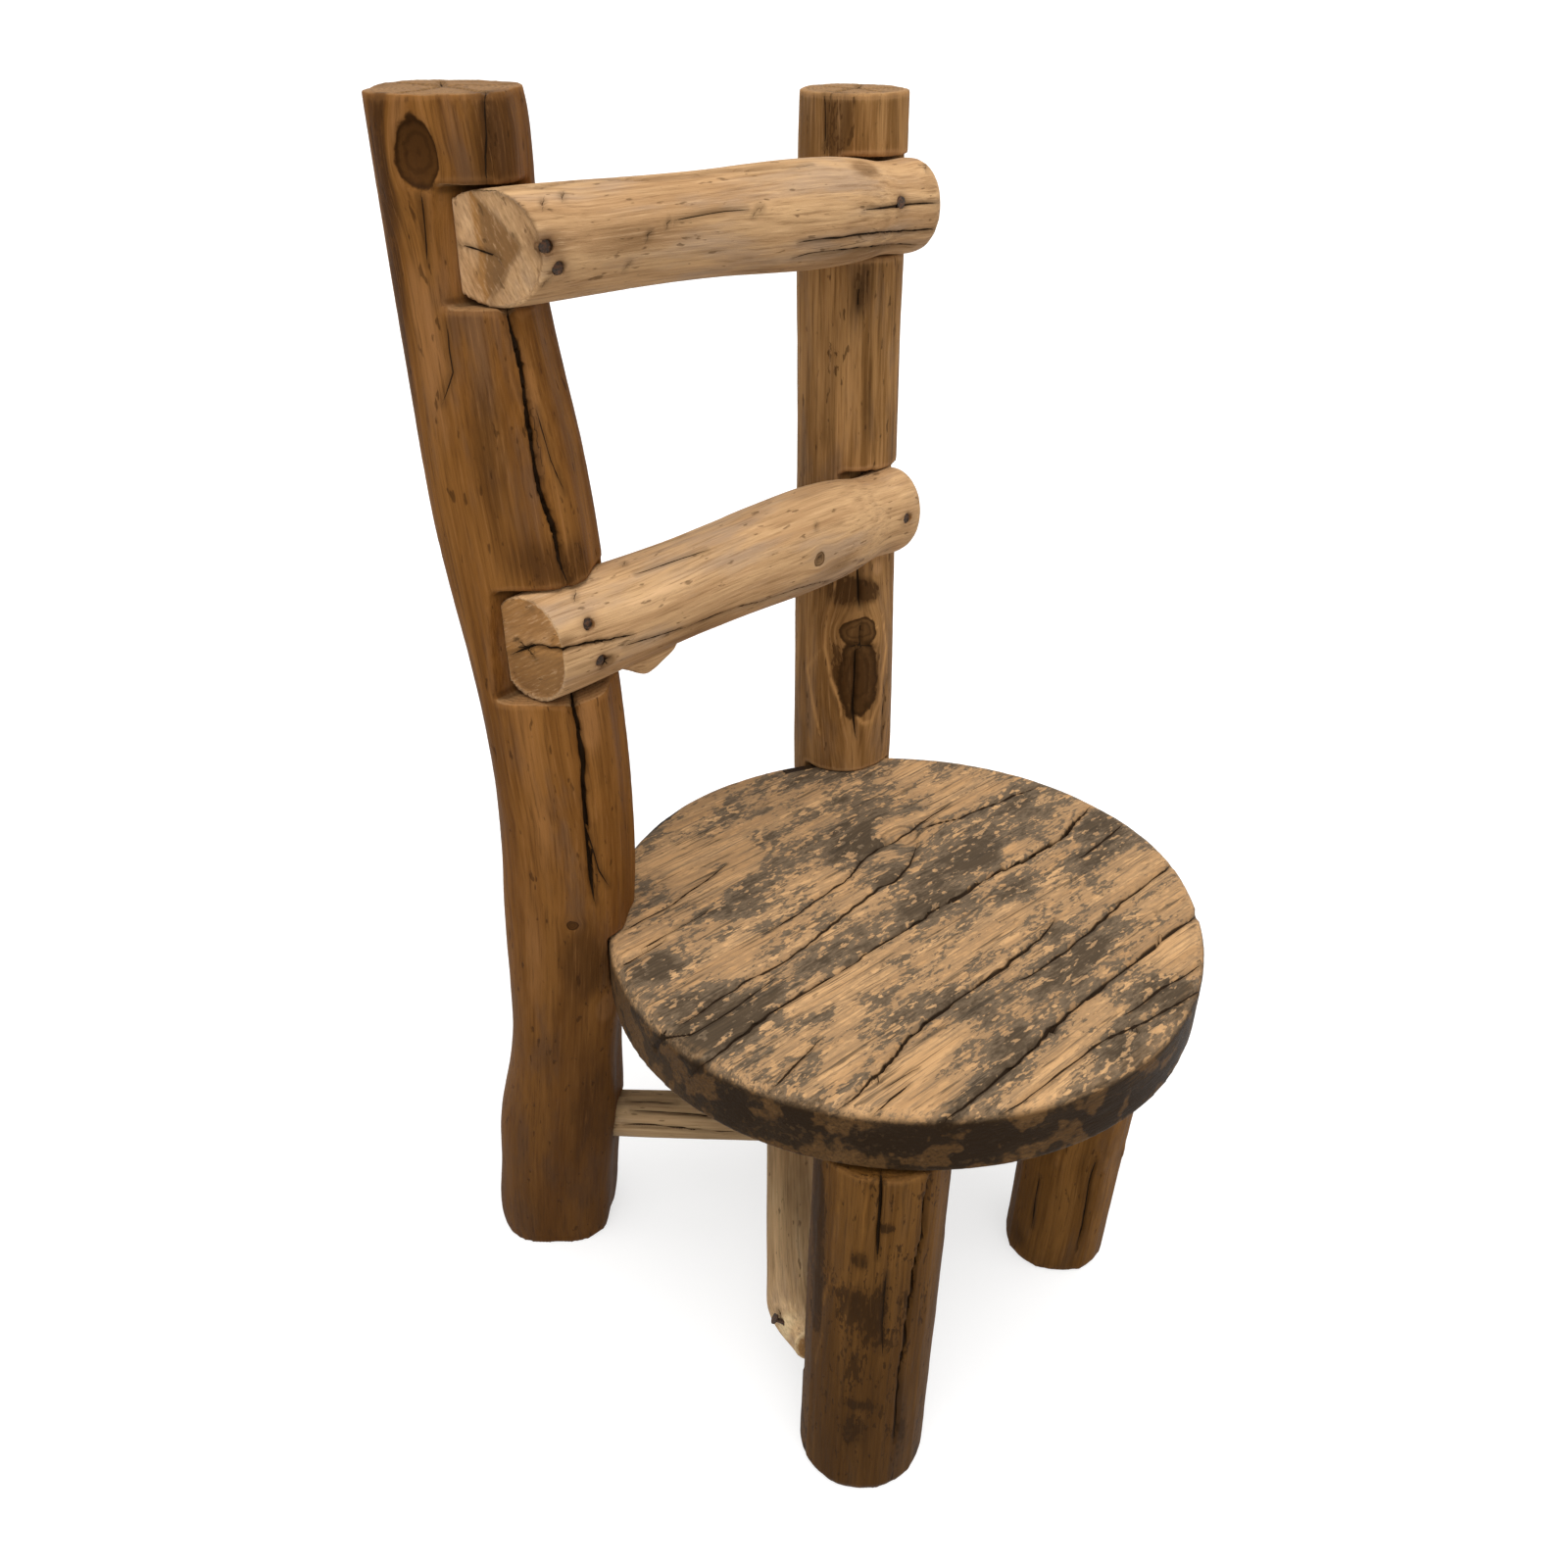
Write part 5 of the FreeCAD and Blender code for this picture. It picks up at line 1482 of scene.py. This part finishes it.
class LOGCHAIR_OT_nails(bpy.types.Operator):
    """Set the nails and spikes"""

    bl_idname = "log_chair.nails"
    bl_label = "Nails and Spikes"

    def execute(self, context):
        material = iron_material()
        nodes = ("upper_rail_nails", "lower_rail_nails", "stretcher_nails", "seat_spikes")
        for seed, node in enumerate(nodes):
            places, aims, radii, lengths = zip(*nail_points(node))
            mesh = bpy.data.meshes.new(node + "_iron")
            mesh.from_pydata([tuple(place) for place in places], [], [])
            stored = mesh.attributes.new("aim", "FLOAT_VECTOR", "POINT")
            stored.data.foreach_set("vector", np.array(aims, np.float32).ravel())
            piece = new_piece(node + "_iron", mesh)
            head = radii[0]
            run_tree(
                piece, "forged_nails", Head_Radius=head, Head_Thickness=head * NAIL_SHARE,
                Shank_Radius=head * NAIL_SHARE, Length=lengths[0], Seed=seed, Material=material)
            hand_over(piece, node)
        return {"FINISHED"}


class LOGCHAIR_OT_wedges(bpy.types.Operator):
    """Give the hidden wedges their wood"""

    bl_idname = "log_chair.wedges"
    bl_label = "Tenon Wedges"

    def execute(self, context):
        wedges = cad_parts["leg_tenon_wedges"]
        wedges.data.materials.clear()
        wedges.data.materials.append(wedge_material())
        return {"FINISHED"}


def shown_ray(wiring):
    """1 for the rays that show the background: seen straight, in gloss or through glass."""
    path = wiring.node("ShaderNodeLightPath").outputs
    bent = wiring.math("MAXIMUM", path["Is Glossy Ray"], path["Is Transmission Ray"])
    return wiring.math("MAXIMUM", path["Is Camera Ray"], bent)


class LOGCHAIR_OT_stage(bpy.types.Operator):
    """Set the floor, the light and the camera"""

    bl_idname = "log_chair.stage"
    bl_label = "Stage"

    def execute(self, context):
        scene = context.scene
        self.lay_floor(scene)
        self.light_room(scene)
        self.set_camera(scene)
        return {"FINISHED"}

    def lay_floor(self, scene):
        """A pale floor that looks white to the camera."""
        half = scene.log_chair_sizes.floor_width / 2
        corners = [(-half, -half, 0), (half, -half, 0), (half, half, 0), (-half, half, 0)]
        mesh = bpy.data.meshes.new("floor")
        mesh.from_pydata(corners, [], [(0, 1, 2, 3)])
        floor = new_piece("floor", mesh)
        material, wiring, shader = open_material("pale_floor")
        lift = wiring.math("MULTIPLY", shown_ray(wiring), BACKDROP_LIFT)
        wiring.give(
            shader.inputs, Base_Color=scene.log_chair_colours.floor, Roughness=0.9, Emission_Color=WHITE,
            Emission_Strength=lift)
        mesh.materials.append(material)

    def light_room(self, scene):
        """A pale room and its sun lamps."""
        world = bpy.data.worlds.new("studio")
        world.use_nodes = True
        scene.world = world
        wiring = Wiring(world.node_tree)
        shown = shown_ray(wiring)
        wiring.give(
            world.node_tree.nodes["Background"].inputs, Color=wiring.mix(shown, ROOM_TINT, WHITE),
            Strength=wiring.total((shown, BACKDROP_LIFT), (ROOM_STRENGTH, 1)))
        for name, place, spread, power in LAMPS:
            light = bpy.data.lights.new(name, "SUN")
            light.angle = math.radians(spread)
            light.energy = power
            lamp = new_piece(name, light)
            lamp.location = place
            lamp.rotation_euler = Vector(place).to_track_quat("Z", "Y").to_euler()

    def set_camera(self, scene):
        """The photograph's camera."""
        lens = bpy.data.cameras.new("photo_camera")
        lens.sensor_width = SENSOR_WIDTH
        lens.lens = SENSOR_WIDTH * FOCAL_PIXELS / PHOTO_SIZE
        camera = new_piece("photo_camera", lens)
        camera.location = CAMERA_PLACE
        camera.rotation_euler = CAMERA_EULER
        scene.camera = camera
        scene.view_settings.view_transform = "Standard"


OPERATORS = (
    LOGCHAIR_OT_stage, LOGCHAIR_OT_posts, LOGCHAIR_OT_rails, LOGCHAIR_OT_seat, LOGCHAIR_OT_legs,
    LOGCHAIR_OT_stretchers, LOGCHAIR_OT_nails, LOGCHAIR_OT_wedges,
)


class LOGCHAIR_PT_panel(bpy.types.Panel):
    """The chair's steps, sizes and colours"""

    bl_idname = "LOGCHAIR_PT_panel"
    bl_label = "Log Chair"
    bl_space_type = "VIEW_3D"
    bl_region_type = "UI"
    bl_category = "Log Chair"

    def draw(self, context):
        for operator in OPERATORS:
            self.layout.operator(operator.bl_idname)
        for group in (context.scene.log_chair_sizes, context.scene.log_chair_colours):
            box = self.layout.box()
            for name in group.bl_rna.properties.keys():
                if name not in ("rna_type", "name"):
                    box.prop(group, name)


CLASSES = (LogChairSizes, LogChairColours, *OPERATORS, LOGCHAIR_PT_panel)


def register():
    for cls in CLASSES:
        bpy.utils.register_class(cls)
    bpy.types.Scene.log_chair_sizes = PointerProperty(type=LogChairSizes)
    bpy.types.Scene.log_chair_colours = PointerProperty(type=LogChairColours)


def unregister():
    del bpy.types.Scene.log_chair_colours
    del bpy.types.Scene.log_chair_sizes
    for cls in reversed(CLASSES):
        bpy.utils.unregister_class(cls)


def main():
    """Registers the add-on and builds the chair piece by piece."""
    register()
    for operator in OPERATORS:
        getattr(bpy.ops.log_chair, operator.bl_idname.split(".")[1])()


if __name__ == "__main__":
    main()
